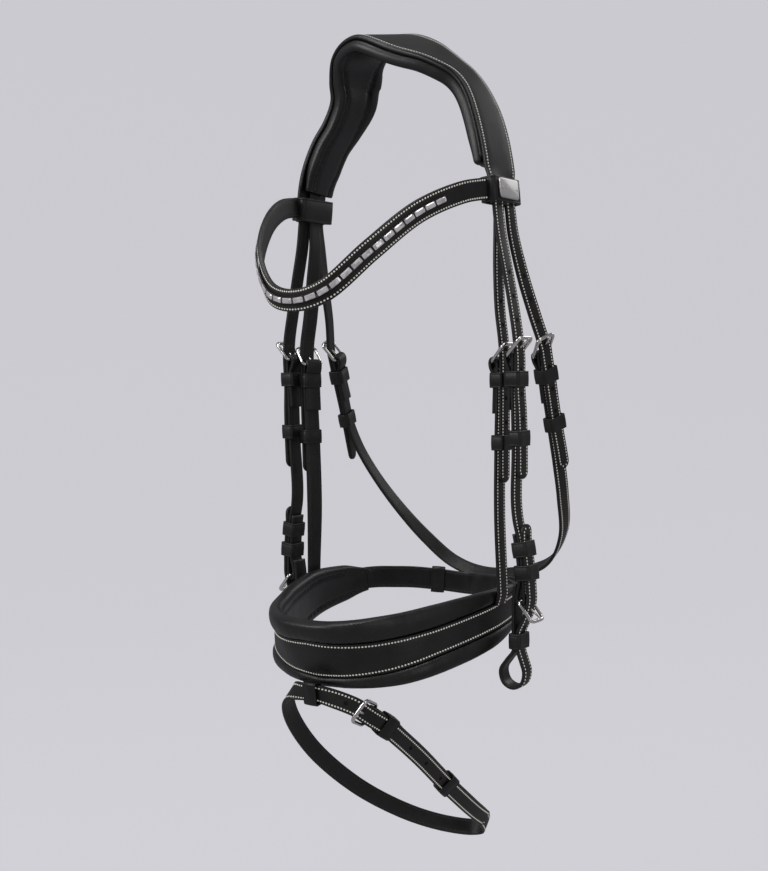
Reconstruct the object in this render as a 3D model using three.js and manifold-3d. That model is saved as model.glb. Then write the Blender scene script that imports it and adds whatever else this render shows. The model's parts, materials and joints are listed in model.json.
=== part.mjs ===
// Snaffle bridle with an anatomic padded headpiece, wave browband, padded noseband and flash strap.
// Millimetres. +Z is up, -Y points to the horse's nose, +X to the horse's left.
// Origin: the underside of the headpiece padding at the poll, where the bridle rests.
import * as THREE from "three";
import { mergeVertices } from "three/addons/utils/BufferGeometryUtils.js";
import Module from "manifold-3d";

// ---- Driving dimensions ----
const STRAP_WIDTH = 13; // half-inch straps
const BILLET_WIDTH = 12.3; // a billet runs freely in keepers sewn to its strap
const LEATHER = 2.4; // thickness of one strap
const GAP = 0.3; // clearance between pieces that rest on each other
const LAYER = LEATHER + GAP; // pitch of straps stacked in a keeper
const CROWN_THICKNESS = 2.6;
const PADDING_THICKNESS = 8.3;
const LOOP_DROP = 105.5; // browband loops below the poll
const LOOP_HEIGHT = 18;
const LOOP_HALF_SPACING = 84.9; // left-hand browband loop from the middle
const RIGHT_SPREAD = 4.5; // the right-hand loop sits this much further out
const BROWBAND_WIDTH = 15.5;
const BROWBAND_THICKNESS = 3.4;
const CRYSTALS = 27;
const WIRE = 1.25; // radius of the buckle wire
const BUCKLE_HALF_WIDTH = 8.7; // centre line of a side bar from the strap's centre
const BUCKLE_LENGTH = 16.5; // heel bar to end bar
const BUCKLE_TILT = 40; // degrees that a frame stands out of its strap
const THROAT_TILT = 30;
const CHIN_TILT = 35;
const FLASH_TILT = 22;
const KEEPER_HEIGHT = 11;
const KEEPER_WALL = 1.3;
const NOSEBAND_DEPTH = 13; // pad and leather together at the front
const CHIN_WIDTH = 18;
const FOLD_RADIUS = WIRE + 0.45 + LEATHER / 2; // strap centre line round a heel bar
const HANGER_Y = 6.5; // the noseband hangers sit behind the cheekpieces

// Heel bars of the left-hand buckles.
const CHEEK_HEEL = v(101.2, 0, -224);
const HANGER_HEEL = v(84.8, HANGER_Y, -228);
const THROAT_HEEL = v(95.4, 51, -223);
const BIT_HEEL = v(110, 0, -398);

// ---- Materials ----
function finish(color, roughness, metalness = 0) {
  return new THREE.MeshStandardMaterial({ color, roughness, metalness });
}
const strapLeather = finish(0x1d1c1c, 0.55);
const softLeather = finish(0x232222, 0.62);
const liningLeather = finish(0x19181a, 0.4);
const nickel = finish(0xc9c8c4, 0.18, 1);
const satinSteel = finish(0xb4b2ad, 0.38, 1);
const crystal = finish(0xdfe4ea, 0.08, 0.3);

// ---- Geometry helpers ----
function v(x, y, z) {
  return new THREE.Vector3(x, y, z);
}

function curveThrough(...points) {
  const curve = new THREE.CatmullRomCurve3(points, false, "centripetal");
  curve.arcLengthDivisions = 3000;
  return curve;
}

// Stations along a curve, closer where it bends: each holds a point, the strap's width direction
// and its outward normal. `across` is a vector, or a function of the share of the curve's length.
function stationsAlong(curve, across, stops) {
  return (stops ?? bendStops(curve)).map((u) => {
    const at = curve.getPointAt(u);
    const tangent = curve.getTangentAt(u);
    const wide = typeof across === "function" ? across(u) : across;
    const side = wide.clone().addScaledVector(tangent, -wide.dot(tangent)).normalize();
    return { u, at, side, out: tangent.clone().cross(side) };
  });
}

// Shares of a curve's length where it has turned by `turn` degrees since the last one, or run `reach`.
function bendStops(curve, turn = 11, reach = 28) {
  const fine = Math.ceil(curve.getLength() * 2);
  const step = curve.getLength() / fine;
  const stops = [0];
  let tangent = curve.getTangentAt(0);
  let bent = 0;
  let run = 0;
  for (let i = 1; i < fine; i++) {
    const next = curve.getTangentAt(i / fine);
    bent += THREE.MathUtils.radToDeg(tangent.angleTo(next));
    run += step;
    tangent = next;
    if (bent > turn || run > reach) {
      stops.push(i / fine);
      bent = 0;
      run = 0;
    }
  }
  return [...stops, 1];
}

function evenStops(count, from = 0, to = 1) {
  return Array.from({ length: count + 1 }, (_, i) => from + ((to - from) * i) / count);
}

// A closed solid through rings of points. Each ring turns counter-clockwise seen from ahead.
function loft(rings, closed = false) {
  const n = rings[0].length;
  const index = [];
  const spans = closed ? rings.length : rings.length - 1;
  for (let i = 0; i < spans; i++) {
    const here = i * n;
    const next = ((i + 1) % rings.length) * n;
    for (let k = 0; k < n; k++) {
      const k2 = (k + 1) % n;
      index.push(here + k, here + k2, next + k2, here + k, next + k2, next + k);
    }
  }
  if (!closed) {
    const end = (rings.length - 1) * n;
    for (const [a, b, c] of capFaces(rings[0])) index.push(a, c, b);
    for (const [a, b, c] of capFaces(rings.at(-1))) index.push(end + a, end + b, end + c);
  }
  const geometry = new THREE.BufferGeometry();
  const positions = rings.flat().flatMap((p) => [p.x, p.y, p.z]);
  geometry.setAttribute("position", new THREE.Float32BufferAttribute(positions, 3));
  geometry.setIndex(index);
  return geometry;
}

function capFaces(ring) {
  const x = ring[1].clone().sub(ring[0]).normalize();
  const area = v(0, 0, 0);
  ring.forEach((p, i) => area.add(p.clone().cross(ring[(i + 1) % ring.length])));
  const y = area.normalize().cross(x);
  const flat = ring.map((p) => new THREE.Vector2(p.dot(x), p.dot(y)));
  return THREE.ShapeUtils.triangulateShape(flat, []);
}

function ringAt(station, outline, lift = 0) {
  return outline.map(([s, h]) =>
    station.at.clone().addScaledVector(station.side, s).addScaledVector(station.out, h + lift));
}

function slab(width, thickness) {
  const s = width / 2;
  const h = thickness / 2;
  return [[-s, -h], [s, -h], [s, h], [-s, h]];
}

// Soft pad section: a slab with rounded edges.
function cushion(width, thickness) {
  const s = width / 2;
  const h = thickness / 2;
  const r = h * 0.8;
  return [
    [-s + r, -h], [s - r, -h], [s, -h + r], [s, h - r],
    [s - r, h], [-s + r, h], [-s, h - r], [-s, -h + r],
  ];
}

// A flat strap. `tip` rounds off its far end.
function strap({ curve, across, width = STRAP_WIDTH, thickness = LEATHER, tip = false, stops, lift = 0 }) {
  const length = curve.getLength();
  const widthAt = typeof width === "function" ? width : () => width;
  const nose = widthAt(1) * 0.45;
  const along = (stops ?? bendStops(curve)).filter((u) => !tip || u * length < length - nose * 1.3);
  const tipSteps = [0, 0.5, 0.8, 1];
  if (tip) along.push(...tipSteps.map((t) => 1 - (nose * (1 - t)) / length));
  const rings = stationsAlong(curve, across, along).map((station) => {
    const into = Math.max(0, 1 - ((1 - station.u) * length) / nose);
    const share = tip ? Math.max(0.3, Math.sqrt(1 - into * into)) : 1;
    return ringAt(station, slab(widthAt(station.u) * share, thickness), lift);
  });
  return loft(rings);
}

// A closed hoop in one plane: `outline` is its section, with s along the hoop's axis and h outwards.
function hoop(points, axis, outline) {
  const rings = points.map((at, i) => {
    const before = points.at(i - 1);
    const after = points[(i + 1) % points.length];
    const tangent = after.clone().sub(before).normalize();
    const turn = after.clone().sub(at).normalize().dot(at.clone().sub(before).normalize());
    const mitre = Math.sqrt(2 / (1 + turn));
    const out = tangent.cross(axis);
    return ringAt({ at, side: axis, out }, outline.map(([s, h]) => [s, h * mitre]));
  });
  return loft(rings, true);
}

// Corner-cut rectangle, turning so that `hoop` faces out.
function roundedRectangle(centre, x, y, halfX, halfY, cut) {
  const corners = [
    [halfX, -halfY + cut], [halfX, halfY - cut], [halfX - cut, halfY], [-halfX + cut, halfY],
    [-halfX, halfY - cut], [-halfX, -halfY + cut], [-halfX + cut, -halfY], [halfX - cut, -halfY],
  ];
  return corners.map(([a, b]) => centre.clone().addScaledVector(x, a).addScaledVector(y, b));
}

function polygon(radius, sides) {
  return evenStops(sides).slice(0, sides).map((t) => {
    const turn = (t + 0.5 / sides) * 2 * Math.PI;
    return [radius * Math.cos(turn), radius * Math.sin(turn)];
  });
}

// A keeper: a leather tube round the straps stacked at `centre`.
function keeper(centre, across, down, width, depth, height = KEEPER_HEIGHT) {
  const along = down.clone().normalize();
  const side = across.clone().addScaledVector(along, -across.dot(along)).normalize();
  const out = along.clone().cross(side);
  const halfX = width / 2 + GAP + KEEPER_WALL / 2;
  const halfY = depth / 2 + GAP + KEEPER_WALL / 2;
  return hoop(roundedRectangle(centre, side, out, halfX, halfY, 1.1), along, slab(height, KEEPER_WALL));
}

// A buckle frame: its heel bar's centre is `heel`, and its end bar lies along `reach`.
function buckleFrame(heel, across, reach, halfWidth = BUCKLE_HALF_WIDTH, length = BUCKLE_LENGTH) {
  const side = across.clone().normalize();
  const ahead = reach.clone().normalize();
  const centre = heel.clone().addScaledVector(ahead, length / 2);
  const axis = side.clone().cross(ahead);
  return hoop(roundedRectangle(centre, side, ahead, halfWidth, length / 2, 2.4), axis, polygon(WIRE, 6));
}

// A buckle tongue: an eye round the heel bar and a pin that lies on the end bar.
function buckleTongue(heel, across, reach, length = BUCKLE_LENGTH) {
  const side = across.clone().normalize();
  const ahead = reach.clone().normalize();
  const up = side.clone().cross(ahead);
  const eyeRadius = WIRE + GAP + 0.6;
  const eye = evenStops(10).slice(0, 10).map((t) => {
    const turn = t * 2 * Math.PI;
    return heel.clone().addScaledVector(ahead, eyeRadius * Math.cos(turn))
      .addScaledVector(up, eyeRadius * Math.sin(turn));
  });
  const rest = WIRE + GAP + 1;
  const path = curveThrough(
    heel.clone().addScaledVector(ahead, eyeRadius),
    heel.clone().addScaledVector(ahead, length * 0.5).addScaledVector(up, 0.5),
    heel.clone().addScaledVector(ahead, length).addScaledVector(up, rest),
    heel.clone().addScaledVector(ahead, length + 2).addScaledVector(up, rest));
  const pin = strap({ curve: path, across: side, width: 2.2, thickness: 1.9, stops: [0, 0.4, 0.8, 1] });
  return join(hoop(eye, side.clone(), slab(2.4, 1.2)), pin);
}

// ---- Solids ----
const wasm = await Module();
wasm.setup();

function solidOf(geometry) {
  const bare = new THREE.BufferGeometry().setAttribute("position", geometry.getAttribute("position"));
  bare.setIndex(geometry.index);
  const merged = mergeVertices(bare, 1e-4);
  return new wasm.Manifold(new wasm.Mesh({
    numProp: 3,
    vertProperties: merged.getAttribute("position").array,
    triVerts: new Uint32Array(merged.index.array),
  }));
}

function geometryOf(solid) {
  const mesh = solid.getMesh();
  const geometry = new THREE.BufferGeometry();
  geometry.setAttribute("position", new THREE.BufferAttribute(mesh.vertProperties, 3));
  geometry.setIndex(new THREE.BufferAttribute(mesh.triVerts, 1));
  return geometry;
}

function join(...geometries) {
  return geometryOf(geometries.map(solidOf).reduce((sum, next) => sum.add(next)));
}

function cut(geometry, ...tools) {
  return geometryOf(tools.map(solidOf).reduce((left, tool) => left.subtract(tool), solidOf(geometry)));
}

// A cutting block, long in `ahead`, placed across a strap.
function block(centre, side, ahead, width, length, depth) {
  const out = side.clone().cross(ahead).normalize();
  const geometry = new THREE.BoxGeometry(width, length, depth);
  geometry.applyMatrix4(new THREE.Matrix4().makeBasis(side, ahead, out).setPosition(centre));
  return geometry;
}

// The mirror image on the right, moved `shift` mm towards +X.
function mirrored(geometry, shift = 0) {
  const copy = geometry.clone();
  copy.applyMatrix4(new THREE.Matrix4().makeScale(-1, 1, 1)).translate(shift, 0, 0);
  return copy.setIndex([...copy.index.array].reverse());
}

// ---- The assembly ----
const bridle = new THREE.Group();

function add(name, geometry, material) {
  const mesh = new THREE.Mesh(geometry, material);
  mesh.name = name;
  bridle.add(mesh);
  return mesh;
}

// A left-hand piece and its mirror image on the right. The right one leans by `splay` mm of X per mm
// of height about the level `pivotZ`, as the right side hangs wider at the browband.
function addPair(name, geometry, material, splay = 0, pivotZ = 0) {
  add(`${name}_left`, geometry, material);
  const lean = new THREE.Matrix4().makeTranslation(0, 0, pivotZ)
    .multiply(new THREE.Matrix4().makeShear(0, 0, 0, 0, -splay, 0))
    .multiply(new THREE.Matrix4().makeTranslation(0, 0, -pivotZ));
  add(`${name}_right`, mirrored(geometry).applyMatrix4(lean), material);
}

const Y = v(0, 1, 0);
const DOWN = v(0, 0, -1);

// The right-hand half of a path, running up to the middle, from its left-hand half.
function rightHalf(half) {
  return half.slice(1).reverse().map((p) => v(-p.x, p.y, p.z));
}

// 0 at the poll, rising smoothly to 1 at `reach` along the headpiece on either side.
function awayFromPoll(u, reach) {
  return THREE.MathUtils.smoothstep(Math.abs(u - 0.5) * crownCurve.getLength(), 0, reach);
}

// ---- Headpiece ----
// The leather's centre line from right to left. It hangs with its right shoulder higher.
const crownCurve = curveThrough(
  v(-92.2, 11.5, -115), v(-91.2, 11.5, -100), v(-88.5, 13.5, -78), v(-81, 18, -54), v(-71.5, 20, -38),
  v(-65, 20.5, -22), v(-63.5, 19, -8), v(-58, 17.5, 8), v(-46, 16, 18.5), v(-30, 15, 23.3),
  v(-13, 15, 21.2),
  v(7, 15, 14.6), v(23, 16, 7.1), v(36, 18, -2), v(47.5, 20, -11.5), v(57, 20.5, -22.5),
  v(65.5, 20, -37),
  v(73, 18, -54), v(80.8, 14, -77), v(85.7, 11.5, -100), v(87.2, 11.5, -115));
const crownLength = crownCurve.getLength();
const crownAcross = (u) => {
  const tilt = THREE.MathUtils.degToRad(12) * (1 - awayFromPoll(u, 75));
  return v(0, Math.cos(tilt), Math.sin(tilt));
};
const crownWidth = (u) => {
  const fromPoll = Math.abs(u - 0.5) * crownLength;
  const earCut = 4 * Math.exp(-(((fromPoll - 85) / 22) ** 2));
  return 33 + 17 * (1 - awayFromPoll(u, 80)) - earCut;
};

function crownBand(width, thickness, lift, from, to, steps, section = slab) {
  const rings = stationsAlong(crownCurve, crownAcross, evenStops(steps, from, to))
    .map((station) => ringAt(station, section(width(station.u), thickness), lift));
  return loft(rings);
}

const CROWN_GAP = 2 * GAP;
const PADDING_END = 26 / crownLength; // the padding stops short of the browband loops
const headstrapLift = -CROWN_THICKNESS / 2 - CROWN_GAP - LEATHER / 2;
const paddingLift = headstrapLift - LEATHER / 2 - CROWN_GAP - PADDING_THICKNESS / 2;
const paddingWidth = (u) => crownWidth(u) + 2 + 8 * (1 - awayFromPoll(u, 110));
add("headpiece_leather", crownBand(crownWidth, CROWN_THICKNESS, 0, 0, 1, 33), strapLeather);
const padding = crownBand(
  paddingWidth, PADDING_THICKNESS, paddingLift, PADDING_END, 1 - PADDING_END, 29, cushion,
);
add("headpiece_padding", padding, softLeather);
add("noseband_headstrap", crownBand(() => STRAP_WIDTH, LEATHER, headstrapLift, 0, 1, 33), liningLeather);

// ---- Browband ----
const browCurve = curveThrough(
  v(-89.8, -8.2, -104.5), v(-85, -30, -108.5), v(-70.5, -64, -125), v(-51, -95, -153),
  v(-24, -113, -180),
  v(0, -116.5, -185), v(22, -113, -179), v(47, -94, -152), v(65, -64, -125.5), v(79, -30, -110),
  v(85, -8.2, -105.5));
const browAcross = v(0, -0.12, 1);

// The tube that the headpiece straps pass through, square to them.
function browbandLoop() {
  const centre = v(LOOP_HALF_SPACING, 11.5, -LOOP_DROP);
  const along = v(-0.1, 0, 1).normalize();
  const out = Y.clone().cross(along);
  const hoopPoints = roundedRectangle(centre, Y, out.clone(), 18.3, 5.7, 1.6);
  return hoop(hoopPoints, Y.clone().cross(out), slab(LOOP_HEIGHT, 1.8));
}

const loopLeft = browbandLoop();
const browStrap = strap({
  curve: browCurve,
  across: browAcross,
  width: BROWBAND_WIDTH,
  thickness: BROWBAND_THICKNESS,
  stops: evenStops(26),
});
add("browband_leather", join(browStrap, loopLeft, mirrored(loopLeft, -RIGHT_SPREAD)), strapLeather);

function crystalStrip() {
  const from = 0.15;
  const to = 0.885;
  const base = strap({
    curve: browCurve, across: browAcross, width: 5.4, thickness: 0.8, stops: evenStops(24, from, to),
    lift: BROWBAND_THICKNESS / 2 + 2 * GAP + 0.4,
  });
  const pitch = (to - from) / CRYSTALS;
  const stones = evenStops(CRYSTALS - 1, from + pitch / 2, to - pitch / 2).map((u) => {
    const [station] = stationsAlong(browCurve, browAcross, [u]);
    const seat = station.at.clone().addScaledVector(station.out, BROWBAND_THICKNESS / 2 + 2 * GAP + 1.3);
    const ahead = station.side.clone().cross(station.out);
    return block(seat, station.side, ahead, 5, pitch * browCurve.getLength() * 0.84, 1.8);
  });
  return join(base, ...stones);
}
add("browband_crystals", crystalStrip(), crystal);

const plate = block(v(92.9, 10, -104.5), Y, v(-0.1, 0, 1).normalize(), 25, 12.4, 1.8);
add("browband_plate_left", plate, satinSteel);
add("browband_plate_right", mirrored(plate, -RIGHT_SPREAD), satinSteel);

// ---- Buckled strap ends ----
// Reach of a buckle frame that stands out of a strap running along `down`, with its heel bar below.
function frameReach(across, down, tilt = BUCKLE_TILT) {
  const out = down.clone().cross(across).normalize();
  const turn = THREE.MathUtils.degToRad(tilt);
  return down.clone().normalize().multiplyScalar(-Math.cos(turn)).addScaledVector(out, Math.sin(turn));
}

// The slot in a folded strap end, and the tongue hole in the strap that lies over it.
function foldSlot(heel, across, down) {
  return block(heel.clone().addScaledVector(down, -0.5), across, down.clone().negate(), 3.6, 11, 7.4);
}

function tongueHole(heel, across, reach, tilt = BUCKLE_TILT) {
  const distance = (FOLD_RADIUS + LAYER) / Math.sin(THREE.MathUtils.degToRad(tilt));
  const centre = heel.clone().addScaledVector(reach, Math.min(distance, BUCKLE_LENGTH * 0.68));
  return block(centre, across.clone().normalize(), reach, 3.4, 13, 5);
}

// Points of a strap end folded inwards round a heel bar: up the inside, round the bar, to the outside.
function fold(heel, across, down, leafLength) {
  const out = down.clone().cross(across).normalize();
  const place = (o, d) => heel.clone().addScaledVector(out, o).addScaledVector(down, d);
  const outer = FOLD_RADIUS;
  const leaf = outer - LAYER;
  return [
    place(leaf, leafLength), place(leaf, 10.5), place(-outer * 0.85, 4), place(-outer, 0),
    place(-outer * 0.707, -outer * 0.707), place(0, -outer), place(outer * 0.707, -outer * 0.707),
    place(outer, 0),
  ];
}

// Cheekpiece: folded round the cheek buckle's heel bar at the top and round the bit buckle's at the foot,
// with the bit billet sewn inside the lower fold, looped round the bit and brought up outside.
const CHEEK_LEAN = [RIGHT_SPREAD / 105, -220];
const cheekReach = frameReach(Y, DOWN);
const bitReach = cheekReach.clone().multiply(v(1, 1, -1));

function cheekpiece() {
  const top = fold(CHEEK_HEEL, Y, DOWN, 38);
  const foot = fold(BIT_HEEL, Y, DOWN, 0).slice(3).map((p) => v(p.x, p.y, 2 * BIT_HEEL.z - p.z)).reverse();
  const main = strap({
    curve: curveThrough(...top, v(104, 0, -245), v(104.7, 0, -290), v(103.9, 0, -326),
      v(105.2, 0, -340),
      v(108.6, 0, -354), v(110.6, 0, -366), v(112, 0, -378), v(112.7, 0, -390), ...foot,
      v(107.5, 0, -392),
      v(109.4, 0, -383), v(107.8, 0, -366), v(105.8, 0, -354), v(105, 0, -350)),
    across: Y,
  });
  const billet = strap({
    curve: curveThrough(v(105.8, 0, -386), v(104.8, 0, -395), v(104.3, 0, -410), v(104.2, 0, -422),
      v(104, 0, -433.5),
      v(98.5, 0, -441), v(93.8, 0, -449), v(96, 0, -457), v(102.5, 0, -460.3), v(109.3, 0, -457),
      v(111.6, 0, -449), v(109.5, 0, -441), v(107.3, 0, -433.5), v(107.1, 0, -422), v(112.5, 0, -410),
      v(115.9, 0, -398), v(115.7, 0, -389), v(114.9, 0, -378), v(113.5, 0, -366), v(111.9, 0, -355),
      v(111.7, 0, -343)),
    across: Y,
    tip: true,
  });
  return join(cut(main, foldSlot(CHEEK_HEEL, Y, DOWN), foldSlot(BIT_HEEL, Y, v(0, 0, 1))),
    cut(billet, tongueHole(BIT_HEEL, Y, bitReach)));
}
addPair("cheekpiece", cheekpiece(), strapLeather, ...CHEEK_LEAN);
addPair("cheek_buckle", buckleFrame(CHEEK_HEEL, Y, cheekReach), nickel, ...CHEEK_LEAN);
addPair("cheek_buckle_tongue", buckleTongue(CHEEK_HEEL, Y, cheekReach), nickel, ...CHEEK_LEAN);
addPair("bit_buckle", buckleFrame(BIT_HEEL, Y, bitReach), nickel, ...CHEEK_LEAN);
addPair("bit_buckle_tongue", buckleTongue(BIT_HEEL, Y.clone().negate(), bitReach), nickel, ...CHEEK_LEAN);

const cheekBillet = strap({
  curve: curveThrough(v(87.4, 3.6, -116.5), v(90, 3, -135), v(96, 2, -162), v(101.5, 1, -188),
    v(105.3, 0, -208), v(106.95, 0, -224), v(106.95, 0, -245), v(108.2, 0, -265),
    v(108.8, 0, -290), v(108.8, 0, -311)),
  across: Y,
  tip: true,
});
const cheekPunched = cut(cheekBillet, tongueHole(CHEEK_HEEL, Y, cheekReach));
addPair("cheek_billet", cheekPunched, strapLeather, ...CHEEK_LEAN);
addPair("cheek_keeper_fixed",
  keeper(v(104.3, 0, -240), Y, DOWN, STRAP_WIDTH, 9.2),
  strapLeather, ...CHEEK_LEAN);
addPair("cheek_keeper_running",
  keeper(v(106.5, 0, -282), Y, DOWN, STRAP_WIDTH, 7.4),
  strapLeather, ...CHEEK_LEAN);
addPair("bit_keeper_upper",
  keeper(v(109.9, 0, -361), Y, v(0.17, 0, -1), STRAP_WIDTH, 8.8),
  strapLeather, ...CHEEK_LEAN);
addPair("bit_keeper_middle",
  keeper(v(112.1, 0, -377.5), Y, v(0.11, 0, -1), STRAP_WIDTH, 9.6),
  strapLeather, ...CHEEK_LEAN);
addPair("bit_keeper_lower",
  keeper(v(105.8, 0, -427), Y, DOWN, STRAP_WIDTH, 6.4, 11),
  strapLeather, ...CHEEK_LEAN);

// ---- Noseband hangers ----
const HANGER_LEAN = [RIGHT_SPREAD / 275, -391];
const hangerReach = frameReach(Y, DOWN);
const hangerStrap = strap({
  curve: curveThrough(...fold(HANGER_HEEL, Y, DOWN, 37), v(87.6, HANGER_Y, -250),
    v(86.6, HANGER_Y, -290),
    v(86.2, HANGER_Y, -341), v(88.3, HANGER_Y, -391)),
  across: Y,
});
const hangerCollar = keeper(v(87.8, HANGER_Y, -244), Y, DOWN, BILLET_WIDTH,
  2 * LAYER + LEATHER + 0.5);
const hangerFolded = cut(hangerStrap, foldSlot(HANGER_HEEL, Y, DOWN));
addPair("hanger_strap", join(hangerFolded, hangerCollar), strapLeather, ...HANGER_LEAN);
addPair("hanger_buckle", buckleFrame(HANGER_HEEL, Y, hangerReach), nickel, ...HANGER_LEAN);
addPair("hanger_buckle_tongue", buckleTongue(HANGER_HEEL, Y, hangerReach), nickel, ...HANGER_LEAN);
const hangerBillet = strap({
  curve: curveThrough(v(83.4, 11.5, -116.5), v(83.3, 11.5, -135), v(84.2, 9.5, -160),
    v(86.5, 7.5, -190),
    v(89.8, HANGER_Y, -212), v(90.7, HANGER_Y, -224), v(90.7, HANGER_Y, -246), v(90.4, HANGER_Y, -290),
    v(90.2, HANGER_Y, -315)),
  across: Y,
  width: BILLET_WIDTH,
  tip: true,
});
const hangerPunched = cut(hangerBillet, tongueHole(HANGER_HEEL, Y, hangerReach));
addPair("hanger_billet", hangerPunched, strapLeather, ...HANGER_LEAN);
addPair("hanger_keeper_running",
  keeper(v(88.4, HANGER_Y, -286), Y, DOWN, STRAP_WIDTH, 6.8),
  strapLeather, ...HANGER_LEAN);

// ---- Throatlash ----
// It hangs from the rear billets of the headpiece and is turned a little outwards.
const THROAT_DOWN = v(0, 0.3, -0.954);
const THROAT_ACROSS = v(0.22, 0.93, 0.2925).normalize();
const throatOut = THROAT_DOWN.clone().cross(THROAT_ACROSS).normalize();
const throatReach = frameReach(THROAT_ACROSS, THROAT_DOWN, THROAT_TILT);
const throatEnd = fold(THROAT_HEEL, THROAT_ACROSS, THROAT_DOWN, 36);
const throatCurve = curveThrough(...throatEnd, v(97.6, 55.5, -238), v(97.6, 66.5, -274),
  v(97.8, 75.5, -305),
  v(96, 85, -331), v(87, 103, -363), v(66, 117, -389), v(35, 120.5, -401), v(0, 121, -404),
  v(-26, 118.5, -396.5),
  v(-50, 112.5, -377), v(-70, 102, -352), v(-84, 89, -326), v(-93.5, 77.5, -301), v(-97.4, 70, -282),
  v(-97.6, 66.5, -274), v(-97.6, 55.5, -238), ...throatEnd.toReversed().map((p) => v(-p.x, p.y, p.z)));

// The strap's width direction at a share of its length; the right half mirrors the left.
function throatAcross(u) {
  const left = u <= 0.5;
  const under = THREE.MathUtils.smoothstep(left ? u : 1 - u, 0.24, 0.42);
  const side = THROAT_ACROSS.clone().lerp(v(0, 0.83, 0.55), under);
  return left ? side : side.multiply(v(-1, 1, 1));
}

const throatSlot = foldSlot(THROAT_HEEL, THROAT_ACROSS, THROAT_DOWN);
const throatCollar = keeper(
  THROAT_HEEL.clone().addScaledVector(THROAT_DOWN, 15).addScaledVector(throatOut, FOLD_RADIUS),
  THROAT_ACROSS, THROAT_DOWN, BILLET_WIDTH, 2 * LAYER + LEATHER + 1);
const throatStrap = strap({ curve: throatCurve, across: throatAcross, stops: bendStops(throatCurve) });
const throatFolded = cut(throatStrap, throatSlot, mirrored(throatSlot));
add("throatlash", join(throatFolded, throatCollar, mirrored(throatCollar)),
  strapLeather);
addPair("throat_buckle", buckleFrame(THROAT_HEEL, THROAT_ACROSS, throatReach), nickel);
addPair("throat_buckle_tongue", buckleTongue(THROAT_HEEL, THROAT_ACROSS, throatReach), nickel);
const overHeel = THROAT_HEEL.clone().addScaledVector(throatOut, FOLD_RADIUS + LAYER + 0.3);
function throatBillet(spread) {
  const band = strap({
    curve: curveThrough(v(87.4 + spread, 20.5, -116.5), v(88 + spread * 0.9, 24, -135),
      v(91.5 + spread * 0.6, 32, -165),
      v(96 + spread * 0.2, 40.5, -192), overHeel.clone().addScaledVector(THROAT_DOWN, -6), overHeel,
      overHeel.clone().addScaledVector(THROAT_DOWN, 12), v(100.6, 65.5, -273), v(101, 71, -290),
      v(101.3, 77, -309)),
    across: (u) => Y.clone().lerp(THROAT_ACROSS, THREE.MathUtils.smoothstep(u, 0, 0.45)),
    width: BILLET_WIDTH,
    tip: true,
  });
  return cut(band, tongueHole(THROAT_HEEL, THROAT_ACROSS, throatReach, THROAT_TILT));
}
add("throat_billet_left", throatBillet(0), strapLeather);
add("throat_billet_right", mirrored(throatBillet(RIGHT_SPREAD)), strapLeather);
addPair("throat_keeper_running",
  keeper(v(99.2, 66.3, -274), THROAT_ACROSS,
  v(0.01, 0.3, -0.95), STRAP_WIDTH + 0.4, 6.8), strapLeather);

// ---- Noseband ----
// Middle of the outer face of its leather, from right to left; the left wing runs on as the chin guard.
const NOSE_HALF = [
  v(0, -107, -431), v(20, -105, -430.5), v(38, -96, -429), v(55, -81, -426), v(67, -62, -422.5),
  v(79, -31, -417.5),
  v(86, -5, -413), v(86.5, 12, -410.5), v(81, 38, -408), v(68, 60, -406.5),
];
const GUARD = [v(56, 73.5, -407), v(43, 84.5, -407.5), v(24, 94.5, -409.5), v(4, 99.5, -411)];
const noseCurve = curveThrough(...rightHalf(NOSE_HALF), ...NOSE_HALF, ...GUARD);
const noseLength = noseCurve.getLength();

// 0 at the middle of the nose, 1 at the end of either padded wing.
const wingLength = curveThrough(...NOSE_HALF).getLength();
const noseMiddle = wingLength / noseLength;
const alongWing = (u) => Math.abs(u - noseMiddle) * noseLength / wingLength;

function noseAcross(u) {
  const at = noseCurve.getPointAt(u);
  const lean = 1 - THREE.MathUtils.smoothstep(at.y, -108, -60);
  const flare = -0.0015 * at.x * (1 - THREE.MathUtils.smoothstep(at.y, 15, 60));
  return v(flare, 0.08 - 0.57 * lean, 1);
}

function along(stops, t) {
  const i = Math.min(stops.length - 2, Math.floor(t * (stops.length - 1)));
  return THREE.MathUtils.lerp(stops[i], stops[i + 1], t * (stops.length - 1) - i);
}
const padHeight = (u) => along([53, 52.5, 51, 49, 47.5, 45, 41, 34.5, 28, 21], Math.min(1, alongWing(u)));
const noseLeather = (u) => along([31, 28, 24, 21, 19, 18.5, 18, 18, 17.5, 17], Math.min(1, alongWing(u)));

// Pad section with a roll along each edge that stands above the leather between them.
function padSection(height, depth) {
  const s = height / 2;
  const roll = Math.min(5, s / 3);
  return [
    [-s + roll, -depth], [s - roll, -depth], [s - 1, -depth * 0.72], [s, -depth * 0.35], [s - 1, 0.4],
    [s - roll * 0.8, 1.6], [s - roll * 1.7, 1.2], [-s + roll * 1.7, 1.2], [-s + roll * 0.8, 1.6],
    [-s + 1, 0.4], [-s, -depth * 0.35], [-s + 1, -depth * 0.72],
  ];
}

const padStops = evenStops(30, 0.012, (2 * wingLength) / noseLength - 0.02);
const padRings = stationsAlong(noseCurve, noseAcross, padStops)
  .map((station) => {
    const depth = NOSEBAND_DEPTH - 3 * alongWing(station.u);
    return ringAt(station, padSection(padHeight(station.u), depth));
  });
const noseStops = bendStops(noseCurve, 7, 22);
const recess = strap({
  curve: noseCurve, across: noseAcross, width: (u) => noseLeather(u) + 1.2, thickness: 8, stops: noseStops,
  lift: 4 - LEATHER - 2 * GAP,
});
add("noseband_padding", cut(loft(padRings), recess), softLeather);

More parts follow.
